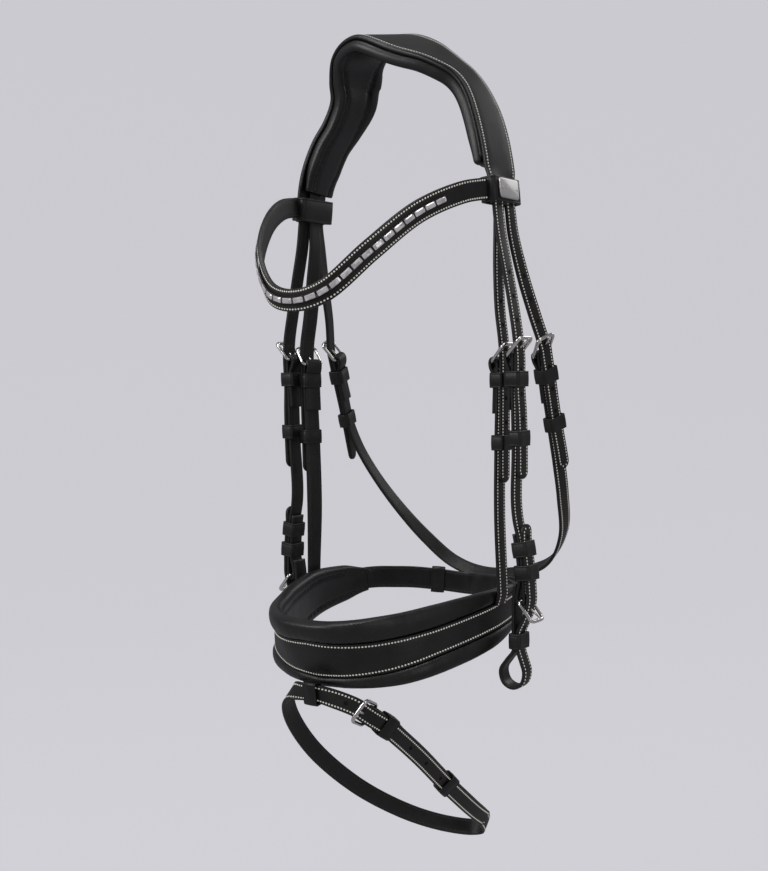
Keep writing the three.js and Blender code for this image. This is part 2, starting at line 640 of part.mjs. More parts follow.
// ---- Chin strap ----
// Its buckle is sewn to the left wing; the strap comes round from the right wing, over the guard.
const CHIN_AHEAD = v(0.72, -0.69, 0.02).normalize();
const chinOut = v(0.69, 0.72, 0).normalize();
const CHIN_ACROSS = chinOut.clone().cross(CHIN_AHEAD);
const CHIN_HEEL = v(62.2, 67.8, -406.8).addScaledVector(chinOut, 3.2);
const chinReach = frameReach(CHIN_ACROSS, CHIN_AHEAD, CHIN_TILT);
const chinAt = (out, ahead) =>
  CHIN_HEEL.clone().addScaledVector(chinOut, out).addScaledVector(CHIN_AHEAD, ahead);
const chinChape = strap({
  curve: curveThrough(...fold(CHIN_HEEL, CHIN_ACROSS, CHIN_AHEAD, 14).slice(1), chinAt(FOLD_RADIUS, 8),
    chinAt(1.2, 17), chinAt(-3.4, 25)),
  across: CHIN_ACROSS,
  width: CHIN_WIDTH - 2,
});
const noseBand = strap({
  curve: noseCurve, across: noseAcross, width: noseLeather, stops: noseStops, lift: -LEATHER / 2, tip: true,
});
const chinSlot = foldSlot(CHIN_HEEL, CHIN_ACROSS, CHIN_AHEAD);
add("noseband_leather", join(noseBand, cut(chinChape, chinSlot)), strapLeather);
add("chin_buckle", buckleFrame(CHIN_HEEL, CHIN_ACROSS, chinReach, CHIN_WIDTH / 2 + 2.2), nickel);
add("chin_buckle_tongue", buckleTongue(CHIN_HEEL, CHIN_ACROSS, chinReach), nickel);
const chinStrap = strap({
  curve: curveThrough(v(-78.5, 49.5, -407), v(-67.8, 65.5, -406.5), v(-58, 74.5, -406.8),
    v(-44, 86, -407.5),
    v(-24, 97, -409.5), v(-4, 102, -411), v(12, 100.5, -410.5), v(25, 97, -409.5),
    v(44.5, 87.5, -407.7),
    chinAt(3.6, -10.5), chinAt(FOLD_RADIUS + LAYER + 0.3, -1), chinAt(FOLD_RADIUS + LAYER + 0.3, 9),
    chinAt(4.2, 18),
    chinAt(-0.2, 28), v(84.5, 41.5, -408)),
  across: v(0, 0, 1),
  width: CHIN_WIDTH,
  tip: true,
});
add("chin_strap", cut(chinStrap, tongueHole(CHIN_HEEL, CHIN_ACROSS, chinReach, CHIN_TILT)), strapLeather);
const CHIN_KEEPER_AHEAD = v(0.87, 0.49, -0.06);
add("chin_keeper",
  keeper(v(-27, 95.6, -409.2),
  v(0, 0, 1), CHIN_KEEPER_AHEAD, CHIN_WIDTH + 0.4, LEATHER + 1), strapLeather);

// ---- Flash ----
// One strap: from its buckle down the left side, round behind, up the right side, through the loop
// on the noseband, and back through the buckle to lie outside itself.
const FLASH_AHEAD = v(0.22, 0.8, -0.56).normalize();
const flashOut = v(0.882, -0.408, -0.236).normalize();
const FLASH_ACROSS = flashOut.clone().cross(FLASH_AHEAD).normalize();
const FLASH_HEEL = v(33, -82, -474);
const flashReach = frameReach(FLASH_ACROSS, FLASH_AHEAD, FLASH_TILT);
const flashAt = (out, ahead) =>
  FLASH_HEEL.clone().addScaledVector(flashOut, out).addScaledVector(FLASH_AHEAD, ahead);
const FLASH_RING = [
  v(40.3, -59.4, -492.2), v(41.6, -34.2, -513), v(41.2, 0, -542.2), v(39.2, 39.4, -572.8),
  v(34, 68, -593), v(27, 80, -604), v(16, 79, -607), v(4, 66, -603.5), v(-10, 49, -596),
  v(-24, 29, -584), v(-35, -10, -557), v(-41.5, -52, -520), v(-38, -82, -487), v(-29, -97, -468),
  v(-18, -104, -459.5), v(-4, -107, -457.3), v(8, -106.3, -457.5),
];
const FLASH_BILLET = [
  v(42.6, -60.6, -493.6), v(43.9, -35.4, -514.4), v(43.5, -1.2, -543.6), v(41.6, 38.2, -574.2),
  v(37.3, 66, -592.2),
];
const flashCurve = curveThrough(...fold(FLASH_HEEL, FLASH_ACROSS, FLASH_AHEAD, 24), flashAt(FOLD_RADIUS, 14),
  flashAt(2.5, 22), ...FLASH_RING,
  flashAt(2.2, -16), flashAt(4.2, -8), flashAt(FOLD_RADIUS + LAYER, -1), flashAt(FOLD_RADIUS + LAYER, 12),
  ...FLASH_BILLET);

function flashAcross(u) {
  const at = flashCurve.getPointAt(u);
  const flat = 1 - THREE.MathUtils.smoothstep(Math.abs(at.x), 6, 26);
  const front = at.y < -80 ? flat : 0;
  const level = THREE.MathUtils.smoothstep(-at.z, 578, 606);
  const turned = THREE.MathUtils.smoothstep(at.y, -66, -40);
  const side = at.x > 0 ? v(0.39, 0.42, 0.75).lerp(v(0.55, 0.62, 0.75), turned) : v(0.23, 0.62, 0.75);
  side.x *= (1 - flat) * (1 - level);
  side.y = THREE.MathUtils.lerp(side.y, -0.1, front);
  return side;
}

const flashStops = bendStops(flashCurve);
const flashCollar = keeper(flashAt(FOLD_RADIUS, 15), FLASH_ACROSS, FLASH_AHEAD, STRAP_WIDTH - 2 * GAP - 0.2,
  2 * LAYER + LEATHER + 0.5);
const flashBand = strap({ curve: flashCurve, across: flashAcross, tip: true, stops: flashStops });
const flashHoles = [
  foldSlot(FLASH_HEEL, FLASH_ACROSS, FLASH_AHEAD),
  tongueHole(FLASH_HEEL, FLASH_ACROSS, flashReach, FLASH_TILT),
];
add("flash_strap", join(cut(flashBand, ...flashHoles), flashCollar), strapLeather);
add("flash_buckle", buckleFrame(FLASH_HEEL, FLASH_ACROSS, flashReach), nickel);
add("flash_buckle_tongue", buckleTongue(FLASH_HEEL, FLASH_ACROSS, flashReach), nickel);
add("flash_keeper_running",
  keeper(v(42.3, 0.9, -544), v(0.55, 0.62, 0.75), v(-0.025, 0.776, -0.63), STRAP_WIDTH + 0.4, 6.4), strapLeather);
const flashLoop = keeper(v(2, -107, -457.2), v(0, -0.1, 0.75), v(1, 0.02, 0), STRAP_WIDTH + 0.8, 5, 11);
add("flash_loop", flashLoop, strapLeather);

export default bridle;
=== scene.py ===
import json
import math

import bpy
import numpy as np
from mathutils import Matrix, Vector


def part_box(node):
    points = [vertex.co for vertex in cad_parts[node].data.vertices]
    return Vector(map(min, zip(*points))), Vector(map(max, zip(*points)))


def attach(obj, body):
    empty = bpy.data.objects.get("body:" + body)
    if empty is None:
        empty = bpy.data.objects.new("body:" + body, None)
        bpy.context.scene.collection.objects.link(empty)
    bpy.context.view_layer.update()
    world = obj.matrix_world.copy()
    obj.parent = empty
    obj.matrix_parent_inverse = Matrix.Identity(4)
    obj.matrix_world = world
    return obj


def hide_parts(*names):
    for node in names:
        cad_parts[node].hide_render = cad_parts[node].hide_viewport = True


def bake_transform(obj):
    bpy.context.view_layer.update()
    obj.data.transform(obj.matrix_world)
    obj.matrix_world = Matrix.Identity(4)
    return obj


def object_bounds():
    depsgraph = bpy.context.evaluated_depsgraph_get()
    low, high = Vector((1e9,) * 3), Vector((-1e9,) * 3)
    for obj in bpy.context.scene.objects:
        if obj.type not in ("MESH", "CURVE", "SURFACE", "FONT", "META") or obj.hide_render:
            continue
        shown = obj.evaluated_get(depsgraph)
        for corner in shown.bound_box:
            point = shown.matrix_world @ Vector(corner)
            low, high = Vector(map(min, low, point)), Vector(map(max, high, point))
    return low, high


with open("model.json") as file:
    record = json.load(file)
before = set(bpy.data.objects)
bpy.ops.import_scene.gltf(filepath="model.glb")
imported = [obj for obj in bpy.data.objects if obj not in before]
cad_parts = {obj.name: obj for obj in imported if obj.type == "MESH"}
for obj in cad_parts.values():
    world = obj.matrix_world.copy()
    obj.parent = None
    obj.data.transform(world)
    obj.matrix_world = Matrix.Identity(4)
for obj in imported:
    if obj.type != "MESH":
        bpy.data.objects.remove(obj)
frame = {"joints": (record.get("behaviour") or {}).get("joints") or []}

CAD_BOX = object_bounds()
JOINTS = {j["name"]: j for j in frame["joints"]}

# ---- Sizes, in millimetres (meshes are scaled to metres when they are made) ----
STRAP_WIDTH = 13.0
BILLET_WIDTH = 12.3
LEATHER = 2.4
GAP = 0.3
LAYER = LEATHER + GAP
WIRE = 1.25
FOLD = WIRE + 0.45 + LEATHER / 2
BUCKLE_HALF_WIDTH = 8.7
BUCKLE_LENGTH = 16.5
RIGHT_SPREAD = 4.5
STITCH_PITCH, STITCH_LENGTH, STITCH_SLANT = 2.3, 1.35, 0.14
FACE = LEATHER / 2
PUNCHED = FACE + 0.27
HOLE_PITCH = 17.5
HOLE_RINGS = ((1.512, -0.4), (1.47, 0.0), (1.12, 0.02), (0.7, -0.04))  # radius and height of a dished hole
THREAD_SLOT, HOLE_SLOT, BACK_THREAD_SLOT = 1, 2, 3
HANGER_Y = 6.5
Y = np.array([0.0, 1.0, 0.0])
DOWN = np.array([0.0, 0.0, -1.0])


def vec(*c):
    return np.array(c, float)


def unit(a):
    a = np.asarray(a, float)
    return a / np.linalg.norm(a, axis=-1, keepdims=True)


def smooth(x, a, b):
    t = np.clip((np.asarray(x, float) - a) / (b - a), 0, 1)
    return t * t * (3 - 2 * t)


def pivot(joint):
    return np.array(JOINTS[joint]["pos_m"]) * 1000


# ---- Paths ----
def spline(points):
    """A centripetal Catmull-Rom curve through the points, sampled finely."""
    p = np.array(points, float)
    p = np.vstack([2 * p[0] - p[1], p, 2 * p[-1] - p[-2]])
    out = []
    for i in range(1, len(p) - 2):
        four = p[i - 1:i + 3]
        spans = np.linalg.norm(np.diff(four, axis=0), axis=1)
        knots = np.concatenate([[0], np.cumsum(np.maximum(1e-4, spans) ** 0.5)])
        t = np.linspace(knots[1], knots[2], max(4, int(spans[1] / 0.5)), endpoint=False)[:, None]
        level = list(four)
        for reach in (1, 2):
            level = [((b - t) * left + (t - a) * right) / (b - a)
                     for a, b, left, right in zip(knots, knots[reach:], level, level[1:])]
        a, b = knots[1:3]
        out.append(((b - t) * level[0] + (t - a) * level[1]) / (b - a))
    return np.vstack(out + [p[-2][None]])


class Track:
    """A strap's centre line with its width direction `S` and outward normal `O` at every half millimetre."""

    def __init__(self, points, across):
        raw = spline(points)
        run = np.concatenate([[0], np.cumsum(np.linalg.norm(np.diff(raw, axis=0), axis=1))])
        self.length = run[-1]
        n = max(2, int(round(self.length / 0.5)))
        self.s = np.linspace(0, self.length, n + 1)
        self.P = np.stack([np.interp(self.s, run, raw[:, k]) for k in range(3)], 1)
        self.T = unit(np.gradient(self.P, axis=0))
        wide = across(self) if callable(across) else np.tile(np.array(across, float), (n + 1, 1))
        self.S = unit(wide - (wide * self.T).sum(1, keepdims=True) * self.T)
        self.O = np.cross(self.T, self.S)

    def at(self, s):
        s = np.atleast_1d(np.asarray(s, float))
        get = lambda A: np.stack([np.interp(s, self.s, A[:, k]) for k in range(3)], 1)
        return get(self.P), unit(get(self.T)), unit(get(self.S)), unit(get(self.O))

    def near(self, point, after=0.0):
        """Distance along the track of its point nearest to this one, past a share of its length."""
        late = self.s >= self.length * after
        return float(self.s[late][np.argmin(np.linalg.norm(self.P[late] - np.array(point, float), axis=1))])


# ---- Meshes ----
class Solid:
    """Vertices and faces in millimetres, gathered from several simple closed bodies."""

    def __init__(self):
        self.v, self.f, self.m = [], [], []
        self.count = 0

    def add(self, verts, faces, slot=0):
        verts = np.asarray(verts, float).reshape(-1, 3)
        self.v.append(verts)
        self.f += [tuple(int(i) + self.count for i in face) for face in faces]
        self.m += [slot] * len(faces)
        self.count += len(verts)
        return self

    def loft(self, rings, slot=0, closed=False):
        rings = np.asarray(rings, float)
        n, k = rings.shape[:2]
        faces = []
        for i in range(n if closed else n - 1):
            a, b = i * k, ((i + 1) % n) * k
            faces += [(a + j, a + (j + 1) % k, b + (j + 1) % k, b + j) for j in range(k)]
        if not closed:
            faces.append(tuple(range(k - 1, -1, -1)))
            faces.append(tuple((n - 1) * k + j for j in range(k)))
        return self.add(rings.reshape(-1, 3), faces, slot)

    def warped(self, change):
        """The mirrored solid: `change` maps its points, and its faces turn round."""
        out = Solid()
        out.v, out.m, out.count = [change(np.vstack(self.v))], self.m, self.count
        out.f = [tuple(reversed(face)) for face in self.f]
        return out

    def build(self, name, materials):
        mesh = bpy.data.meshes.new(name)
        mesh.from_pydata((np.vstack(self.v) * 0.001).tolist(), [], self.f)
        mesh.polygons.foreach_set("use_smooth", [True] * len(self.f))
        for material in materials:
            mesh.materials.append(material)
        mesh.polygons.foreach_set("material_index", self.m)
        mesh.update()
        piece = bpy.data.objects.new(name, mesh)
        bpy.context.scene.collection.objects.link(piece)
        return piece


def ring_points(P, S, O, outline):
    """Rings of points: outline is (n, k, 2) or (k, 2), as distances along S and O."""
    outline = np.asarray(outline, float)
    if outline.ndim == 2:
        outline = np.broadcast_to(outline, (len(P),) + outline.shape)
    return P[:, None] + S[:, None] * outline[..., 0:1] + O[:, None] * outline[..., 1:2]


def belt_section(width, thickness, groove=0.14, crown=0.16):
    """Section of a finished strap: rounded edges, a stitch groove near each edge, slightly crowned."""
    w, t = width / 2, thickness / 2
    r = min(0.75, t * 0.7, w * 0.4)
    inset = min(1.75, w * 0.35)
    corner = [(r * math.sin(a), r * (1 - math.cos(a))) for a in (0, 0.5, 1.0, math.pi / 2)]
    top = [(-w + inset * 1.35, t), (-w + inset, t - groove), (-w + inset * 0.62, t)]
    half = [(-w * 0.45, t + crown * 0.8), (0, t + crown), (w * 0.45, t + crown * 0.8)]
    right = [(w - r + x, -t + y) for x, y in corner]
    right_top = [(w - y, t - r + x) for x, y in corner]
    left_top = [(-w + r - x, t - y) for x, y in corner]
    left = [(-w + y, -t + r - x) for x, y in corner]
    bottom = [(-w * 0.4, -t), (w * 0.4, -t)]
    over = [(-x, y) for x, y in top[::-1]] + half[::-1] + top
    return np.array(left[-1:] + bottom + right + right_top + over + left_top + left[:-1])


def strap(solid, track, width=STRAP_WIDTH, thickness=LEATHER, start=0.0, end=None, lift=0.0, tip=False,
          slot=0, section=belt_section, head=False, shift=None):
    """A belt along a track; `tip` rounds its far end and `head` its near one."""
    step = 1.6
    end = track.length if end is None else end
    s = np.arange(start, end, step)
    widths = width if callable(width) else (lambda x: np.full(len(np.atleast_1d(x)), float(width)))
    nose = float(widths(np.array([end]))[0]) / 2
    if tip:
        into = nose * (1 - np.sin(np.linspace(0, math.pi / 2, 12)))
        s = np.concatenate([s[s < end - nose], end - into])
    else:
        s = np.append(s[s < end - step / 2], end)
    if head:
        into = nose * (1 - np.cos(np.linspace(0.03, math.pi / 2, 8)))
        s = np.concatenate([start + into, s[s > start + nose]])
    P, _, S, O = track.at(s)
    into = np.clip(1 - (end - s) / nose, 0, 1) if tip else np.zeros(len(s))
    share = np.sqrt(np.clip(1 - into ** 2.4, 0.012, 1))
    if head:
        share = share * np.sqrt(np.clip(1 - np.clip(1 - (s - start) / nose, 0, 1) ** 2.4, 0.012, 1))
    outline = np.stack([section(w * k, thickness * (0.55 + 0.45 * k ** 0.5))
                        for w, k in zip(widths(s), share)])
    outline[..., 1] += lift
    if shift is not None:
        outline[..., 0] += shift(s)[:, None]
    return solid.loft(ring_points(P, S, O, outline), slot)


def stitches(solid, track, offset, height, start, end, slot=THREAD_SLOT, wide=0.54, tall=0.36):
    """A row of thread stitches on a strap's face: offset from its middle, height above the track."""
    s = np.arange(start + STITCH_PITCH / 2, end, STITCH_PITCH)
    P, T, S, O = track.at(s)
    off = offset(s)
    along = unit(T + S * np.sign(off)[:, None] * STITCH_SLANT)
    side = np.cross(O, along)
    centre = P + S * off[:, None] + O * height
    angles = np.arange(6) * math.pi / 3
    for c, a, b, o in zip(centre, along, side, O):
        rings = [c + a * l * STITCH_LENGTH + np.outer(np.cos(angles) * wide * k, b)
                 + np.outer(np.sin(angles) * tall * k, o)
                 for l, k in ((-0.5, 0.3), (-0.36, 1), (0.36, 1), (0.5, 0.3))]
        solid.loft(np.array(rings), slot)
    return solid


def punch(solid, track, stops):
    """Punched holes: a dished disc in each place, coloured near black as painted shade inside the hole."""
    turn = np.arange(16) * math.pi / 8
    for s in stops:
        P, T, S, O = (a[0] for a in track.at(s))
        rings = [P + O * (PUNCHED + h) + np.outer(np.cos(turn) * r * 1.1, T) - np.outer(np.sin(turn) * r, S)
                 for r, h in HOLE_RINGS]
        solid.loft(np.array(rings), HOLE_SLOT)
    return solid


def sweep(solid, points, across, radius, closed=False, sides=14, flat=1.0):
    """A rod of round section along points; radius is a number or one value for each point."""
    p = np.array(points, float)
    if closed:
        t = unit(np.roll(p, -1, 0) - np.roll(p, 1, 0))
    else:
        t = unit(np.gradient(p, axis=0))
    side = np.tile(np.array(across, float), (len(p), 1))
    side = unit(side - (side * t).sum(1, keepdims=True) * t)
    out = np.cross(t, side)
    r = np.broadcast_to(np.asarray(radius, float), (len(p),))[:, None, None]
    turn = np.arange(sides) * 2 * math.pi / sides
    outline = np.stack([np.cos(turn), np.sin(turn) * flat], 1)[None] * r
    return solid.loft(ring_points(p, side, out, outline), closed=closed)


def arc_rectangle(half_x, half_y, r, per_corner=7, sag=0.0):
    """Points of a rectangle with round corners, counter-clockwise, with extra points on its long sides."""
    out = []
    x, y = half_x - r, half_y - r
    for k, (cx, cy) in enumerate(((x, y), (-x, y), (-x, -y), (x, -y))):
        for a in np.linspace(0, math.pi / 2, per_corner) + k * math.pi / 2:
            out.append((cx + r * math.cos(a), cy + r * math.sin(a)))
        nxt = ((-half_x + r, half_y), (-half_x, -half_y + r), (half_x - r, -half_y), (half_x, half_y - r))[k]
        last = out[-1]
        for t in (0.25, 0.5, 0.75):
            x, y = last[0] + (nxt[0] - last[0]) * t, last[1] + (nxt[1] - last[1]) * t
            if k in (0, 2):
                y -= math.copysign(sag * math.sin(math.pi * t), y)
            out.append((x, y))
    return np.array(out)


def tube(solid, centre, side, out, axis, loop, height, wall, edge, crown):
    """A leather tube round an axis; `edge` gives its corner and pressed line, in from its end and face."""
    p = np.array([centre + side * x + out * y for x, y in loop])
    axes = np.tile(axis, (len(p), 1))
    facing_out = lambda p: np.cross(unit(np.roll(p, -1, 0) - np.roll(p, 1, 0)), axes)
    if np.dot(facing_out(p)[0], p[0] - centre) < 0:
        p = p[::-1]
    h, w = height / 2, wall / 2
    half = [(h - x, w - y) for x, y in edge]
    outline = [(-h + 0.3, -w), (h - 0.3, -w)] + half + [(0, w + crown)] + [(-x, y) for x, y in half[::-1]]
    return solid.loft(ring_points(p, axes, facing_out(p), outline), closed=True)


def keeper(solid, centre, across, down, width, depth):
    """A leather tube round a stack of straps."""
    height, wall = 11.0, 1.35
    down = unit(down)
    side = unit(across - np.dot(across, down) * down)
    loop = arc_rectangle(width / 2 + GAP + wall / 2, depth / 2 + GAP + wall / 2, 1.7, sag=0.25)
    edge = [(0, wall - 0.3), (0, 0.45), (0.15, 0.15), (0.5, 0), (1.0, 0), (1.3, 0.16), (1.6, 0)]
    return tube(solid, centre, side, np.cross(down, side), down, loop, height, wall, edge, 0.12)


def reach_of(across, down, tilt):
    out = unit(np.cross(down, across))
    a = math.radians(tilt)
    return -unit(down) * math.cos(a) + out * math.sin(a)


def buckle(solid, heel, across, reach, half_width=BUCKLE_HALF_WIDTH):
    """A nickel frame: a straight heel bar, side bars that swell, and a rounded end bar."""
    side, ahead, length = unit(across), unit(reach), BUCKLE_LENGTH
    loop = arc_rectangle(half_width, length / 2, 3.2, per_corner=9)
    heel_first = loop[:, 1] < 0
    loop = np.array([(x, y + (0.5 * (1 - (x / half_width) ** 2) if y > 0 else 0)) for x, y in loop])
    p = np.array([heel + ahead * (length / 2 + y) + side * x for x, y in loop])
    thick = np.where(heel_first, WIRE * 0.98, WIRE * 0.98 + 0.22 * smooth(loop[:, 1], 0, length / 2))
    return sweep(solid, p, np.cross(side, ahead), thick, closed=True, sides=16)


def tongue(solid, heel, across, reach):
    """A buckle tongue: an eye round the heel bar and a tapered pin that rests on the end bar."""
    side, ahead, length = unit(across), unit(reach), BUCKLE_LENGTH
    up = np.cross(side, ahead)
    turn = np.linspace(0, 2 * math.pi, 24, endpoint=False)
    eye_radius = WIRE + GAP + 0.6
    eye = [heel + ahead * eye_radius * math.cos(a) + up * eye_radius * math.sin(a) for a in turn]
    sweep(solid, eye, side, 0.85, closed=True, sides=10, flat=0.75)
    rest = WIRE + GAP + 1.0
    pin = spline([heel + ahead * eye_radius, heel + ahead * length * 0.5 + up * 0.5,
                  heel + ahead * length * 0.86 + up * (rest - 0.25), heel + ahead * length + up * rest,
                  heel + ahead * (length + 2) + up * (rest - 0.1)])
    share = np.linspace(0, 1, len(pin))
    radius = 1.12 - 0.28 * share
    radius = radius * np.sqrt(np.clip(1 - smooth(share, 0.93, 1.02) ** 2, 0.05, 1))
    return sweep(solid, pin, side, radius, sides=12, flat=0.86)


def fold_points(heel, across, down, leaf_length):
    """A strap end folded inwards round a heel bar: up the inside, round the bar, to the outside."""
    out = unit(np.cross(down, across))
    place = lambda o, d: heel + out * o + unit(down) * d
    f, leaf = FOLD, FOLD - LAYER
    return [place(leaf, leaf_length), place(leaf, 10.5), place(-f * 0.85, 4), place(-f, 0),
            place(-f * 0.707, -f * 0.707), place(0, -f), place(f * 0.707, -f * 0.707), place(f, 0)]


# ---- Materials ----
def new_material(name):
    material = bpy.data.materials.new(name)
    material.use_nodes = True
    tree = material.node_tree
    shader = tree.nodes["Principled BSDF"]
    place = tree.nodes.new("ShaderNodeTexCoord").outputs["Object"]
    return material, tree, shader, place


def ramp(tree, source, low, high, a=0.0, b=1.0):
    m = tree.nodes.new("ShaderNodeMapRange")
    m.inputs["From Min"].default_value = a
    m.inputs["From Max"].default_value = b
    m.inputs["To Min"].default_value = low
    m.inputs["To Max"].default_value = high
    tree.links.new(source, m.inputs["Value"])
    return m.outputs["Result"]


def texture(tree, place, kind, scale, **settings):
    n = tree.nodes.new(kind)
    tree.links.new(place, n.inputs["Vector"])
    n.inputs["Scale"].default_value = scale
    for key, value in settings.items():
        if key in ("feature", "distance"):
            setattr(n, key, value)
        else:
            n.inputs[key].default_value = value
    return n


def blend_colours(tree, factor, low, high):
    """The colour between two others (numbers or links) that a factor picks."""
    mix = tree.nodes.new("ShaderNodeMix")
    mix.data_type = "RGBA"
    for socket, value in ((0, factor), (6, low), (7, high)):
        if isinstance(value, tuple):
            mix.inputs[socket].default_value = (*value, 1)
        else:
            tree.links.new(value, mix.inputs[socket])
    return mix.outputs[2]


def arithmetic(tree, operation, *values):
    sums = tree.nodes.new("ShaderNodeMath")
    sums.operation = operation
    for socket, value in enumerate(values):
        if isinstance(value, float):
            sums.inputs[socket].default_value = value
        else:
            tree.links.new(value, sums.inputs[socket])
    return sums.outputs[0]


def roughen(tree, shader, height, strength, distance):
    bump = tree.nodes.new("ShaderNodeBump")
    bump.inputs["Strength"].default_value = strength
    bump.inputs["Distance"].default_value = distance
    tree.links.new(height, bump.inputs["Height"])
    tree.links.new(bump.outputs["Normal"], shader.inputs["Normal"])


def settle(shader, **values):
    """Fixed inputs of a shader, with underscores for the spaces in their names."""
    for key, value in values.items():
        shader.inputs[key.replace("_", " ")].default_value = value


def darker(color, share):
    return tuple(c * share for c in color)


def leather(name, dark, light, rough, grain=0.22, pore_scale=1150.0, crease=0.0, coat=0.0):
    """Dyed leather: pebbled grain with pores, slow colour change, a painted highlight that lightens convex
    edges, and a waxed sheen.
    """
    material, tree, shader, place = new_material(name)
    cloud = texture(tree, place, "ShaderNodeTexNoise", 55.0, Detail=5.0, Roughness=0.6).outputs["Fac"]
    fine = texture(tree, place, "ShaderNodeTexNoise", 900.0, Detail=3.0, Roughness=0.7).outputs["Fac"]
    cells = texture(tree, place, "ShaderNodeTexVoronoi", pore_scale, Randomness=1.0).outputs["Distance"]
    edges = texture(tree, place, "ShaderNodeTexVoronoi", pore_scale * 0.62, feature="DISTANCE_TO_EDGE")
    wrinkle = texture(tree, place, "ShaderNodeTexNoise", 120.0, Detail=6.0, Roughness=0.65, Distortion=0.8)
    pointed = tree.nodes.new("ShaderNodeNewGeometry").outputs["Pointiness"]
    dyed = blend_colours(tree, ramp(tree, cloud, 0.0, 1.0, 0.35, 0.68), dark, light)
    # Convex edges, found by pointiness, are blended towards a lighter grey: a painted edge highlight.
    painted_edge_highlight = blend_colours(tree, ramp(tree, pointed, 0.0, 0.5, 0.53, 0.62), dyed, darker(light, 2.4))
    tree.links.new(painted_edge_highlight, shader.inputs["Base Color"])
    tree.links.new(arithmetic(tree, "ADD", ramp(tree, cloud, rough - 0.06, rough + 0.08, 0.3, 0.7),
                              ramp(tree, fine, -0.05, 0.05)), shader.inputs["Roughness"])
    settle(shader, Specular_IOR_Level=0.5, Coat_Weight=coat, Coat_Roughness=0.32)
    pores = arithmetic(tree, "MULTIPLY_ADD", ramp(tree, edges.outputs["Distance"], 0.0, 1.0, 0.0, 0.22), 0.7,
                       ramp(tree, cells, 0.3, 0.0, 0.0, 0.6))
    height = arithmetic(tree, "MULTIPLY_ADD", wrinkle.outputs["Fac"], 0.8 + crease, pores)
    roughen(tree, shader, height, grain, 0.00022)
    return material


def thread(name, color, rough=0.75, painted_glow=0.0):
    material, tree, shader, place = new_material(name)
    twist = texture(tree, place, "ShaderNodeTexNoise", 2600.0, Detail=2.0).outputs["Fac"]
    tint = blend_colours(tree, ramp(tree, twist, 0, 1, 0.3, 0.7), darker(color, 0.74), color)
    tree.links.new(tint, shader.inputs["Base Color"])
    # Emission in the thread's own colour is a painted glow that brightens the stitches.
    settle(shader, Roughness=rough, Sheen_Weight=0.2, Emission_Color=(*color, 1), Emission_Strength=painted_glow)
    roughen(tree, shader, twist, 0.4, 0.0001)
    return material


def metal(name, color, low, high, brushed=False):
    """Plated metal with faint handling marks; `brushed` draws them out along one direction."""
    material, tree, shader, place = new_material(name)
    if brushed:
        stretch = tree.nodes.new("ShaderNodeMapping")
        stretch.inputs["Scale"].default_value = (1, 0.06, 1)
        tree.links.new(place, stretch.inputs["Vector"])
        place = stretch.outputs["Vector"]
    scale = 700.0 if brushed else 160.0
    marks = texture(tree, place, "ShaderNodeTexNoise", scale, Detail=6.0, Roughness=0.7).outputs["Fac"]
    tree.links.new(ramp(tree, marks, low, high, 0.3, 0.7), shader.inputs["Roughness"])
    shade = blend_colours(tree, ramp(tree, marks, 0, 1, 0.3, 0.7), darker(color, 0.9), color)
    tree.links.new(shade, shader.inputs["Base Color"])
    settle(shader, Metallic=1.0)
    roughen(tree, shader, marks, 0.12, 0.0001)
    return material


def crystal():
    """Clear foiled stones over a silvered back: painted glints of random brightness on the facets and a faint
    painted glow.
    """
    material, tree, shader, place = new_material("clear_crystal_look")
    cells = texture(tree, place, "ShaderNodeTexVoronoi", 260.0, Randomness=1.0)
    # Each cell's base colour lies between grey and near white: painted glints on the facets.
    shade = blend_colours(tree, ramp(tree, cells.outputs["Color"], 0, 1, 0.25, 0.75), (0.5, 0.47, 0.48),
                          (0.97, 0.94, 0.95))
    tree.links.new(shade, shader.inputs["Base Color"])
    # The faint emission is a painted glow.
    settle(shader, Roughness=0.08, Metallic=0.25, IOR=1.6, Coat_Weight=1.0, Coat_Roughness=0.03,
           Emission_Color=(0.9, 0.87, 0.9, 1), Emission_Strength=0.12)
    roughen(tree, shader, cells.outputs["Distance"], 0.25, 0.0006)
    return material


def hole():
    material, _, shader, _ = new_material("hole_look")
    # Near black: painted shade inside a punched hole.
    settle(shader, Base_Color=(0.003, 0.003, 0.003, 1), Roughness=0.9)
    return material


STRAP = leather("strap_leather_look", (0.009, 0.0092, 0.0092), (0.019, 0.0195, 0.0193), 0.44, coat=0.08)
SOFT = leather("soft_leather_look", (0.008, 0.0082, 0.0083), (0.017, 0.0174, 0.0175), 0.4, grain=0.36,
               pore_scale=850.0, crease=0.6, coat=0.22)
LINING = leather("lining_leather_look", (0.008, 0.0082, 0.0087), (0.017, 0.0173, 0.0185), 0.3, grain=0.16,
                 coat=0.3)
# The white thread glows a little: painted light.
WHITE = thread("white_thread_look", (0.92, 0.89, 0.80), painted_glow=0.26)
BLACK = thread("black_thread_look", (0.05, 0.05, 0.052), 0.45)
HOLE = hole()
LOOKS = {  # materials of each slot: the piece itself, then thread, holes and the thread of the inner side
    "strap_leather": [STRAP, WHITE, HOLE, BLACK],
    "lining_leather": [LINING, WHITE, HOLE, BLACK],
    "soft_leather": [SOFT, BLACK],
    "nickel_wire": [metal("nickel_look", (0.95, 0.93, 0.90), 0.12, 0.26)],
    "satin_plate": [metal("satin_plate_look", (0.84, 0.83, 0.81), 0.26, 0.42, brushed=True)],
    "clear_crystal": [crystal(), STRAP]}


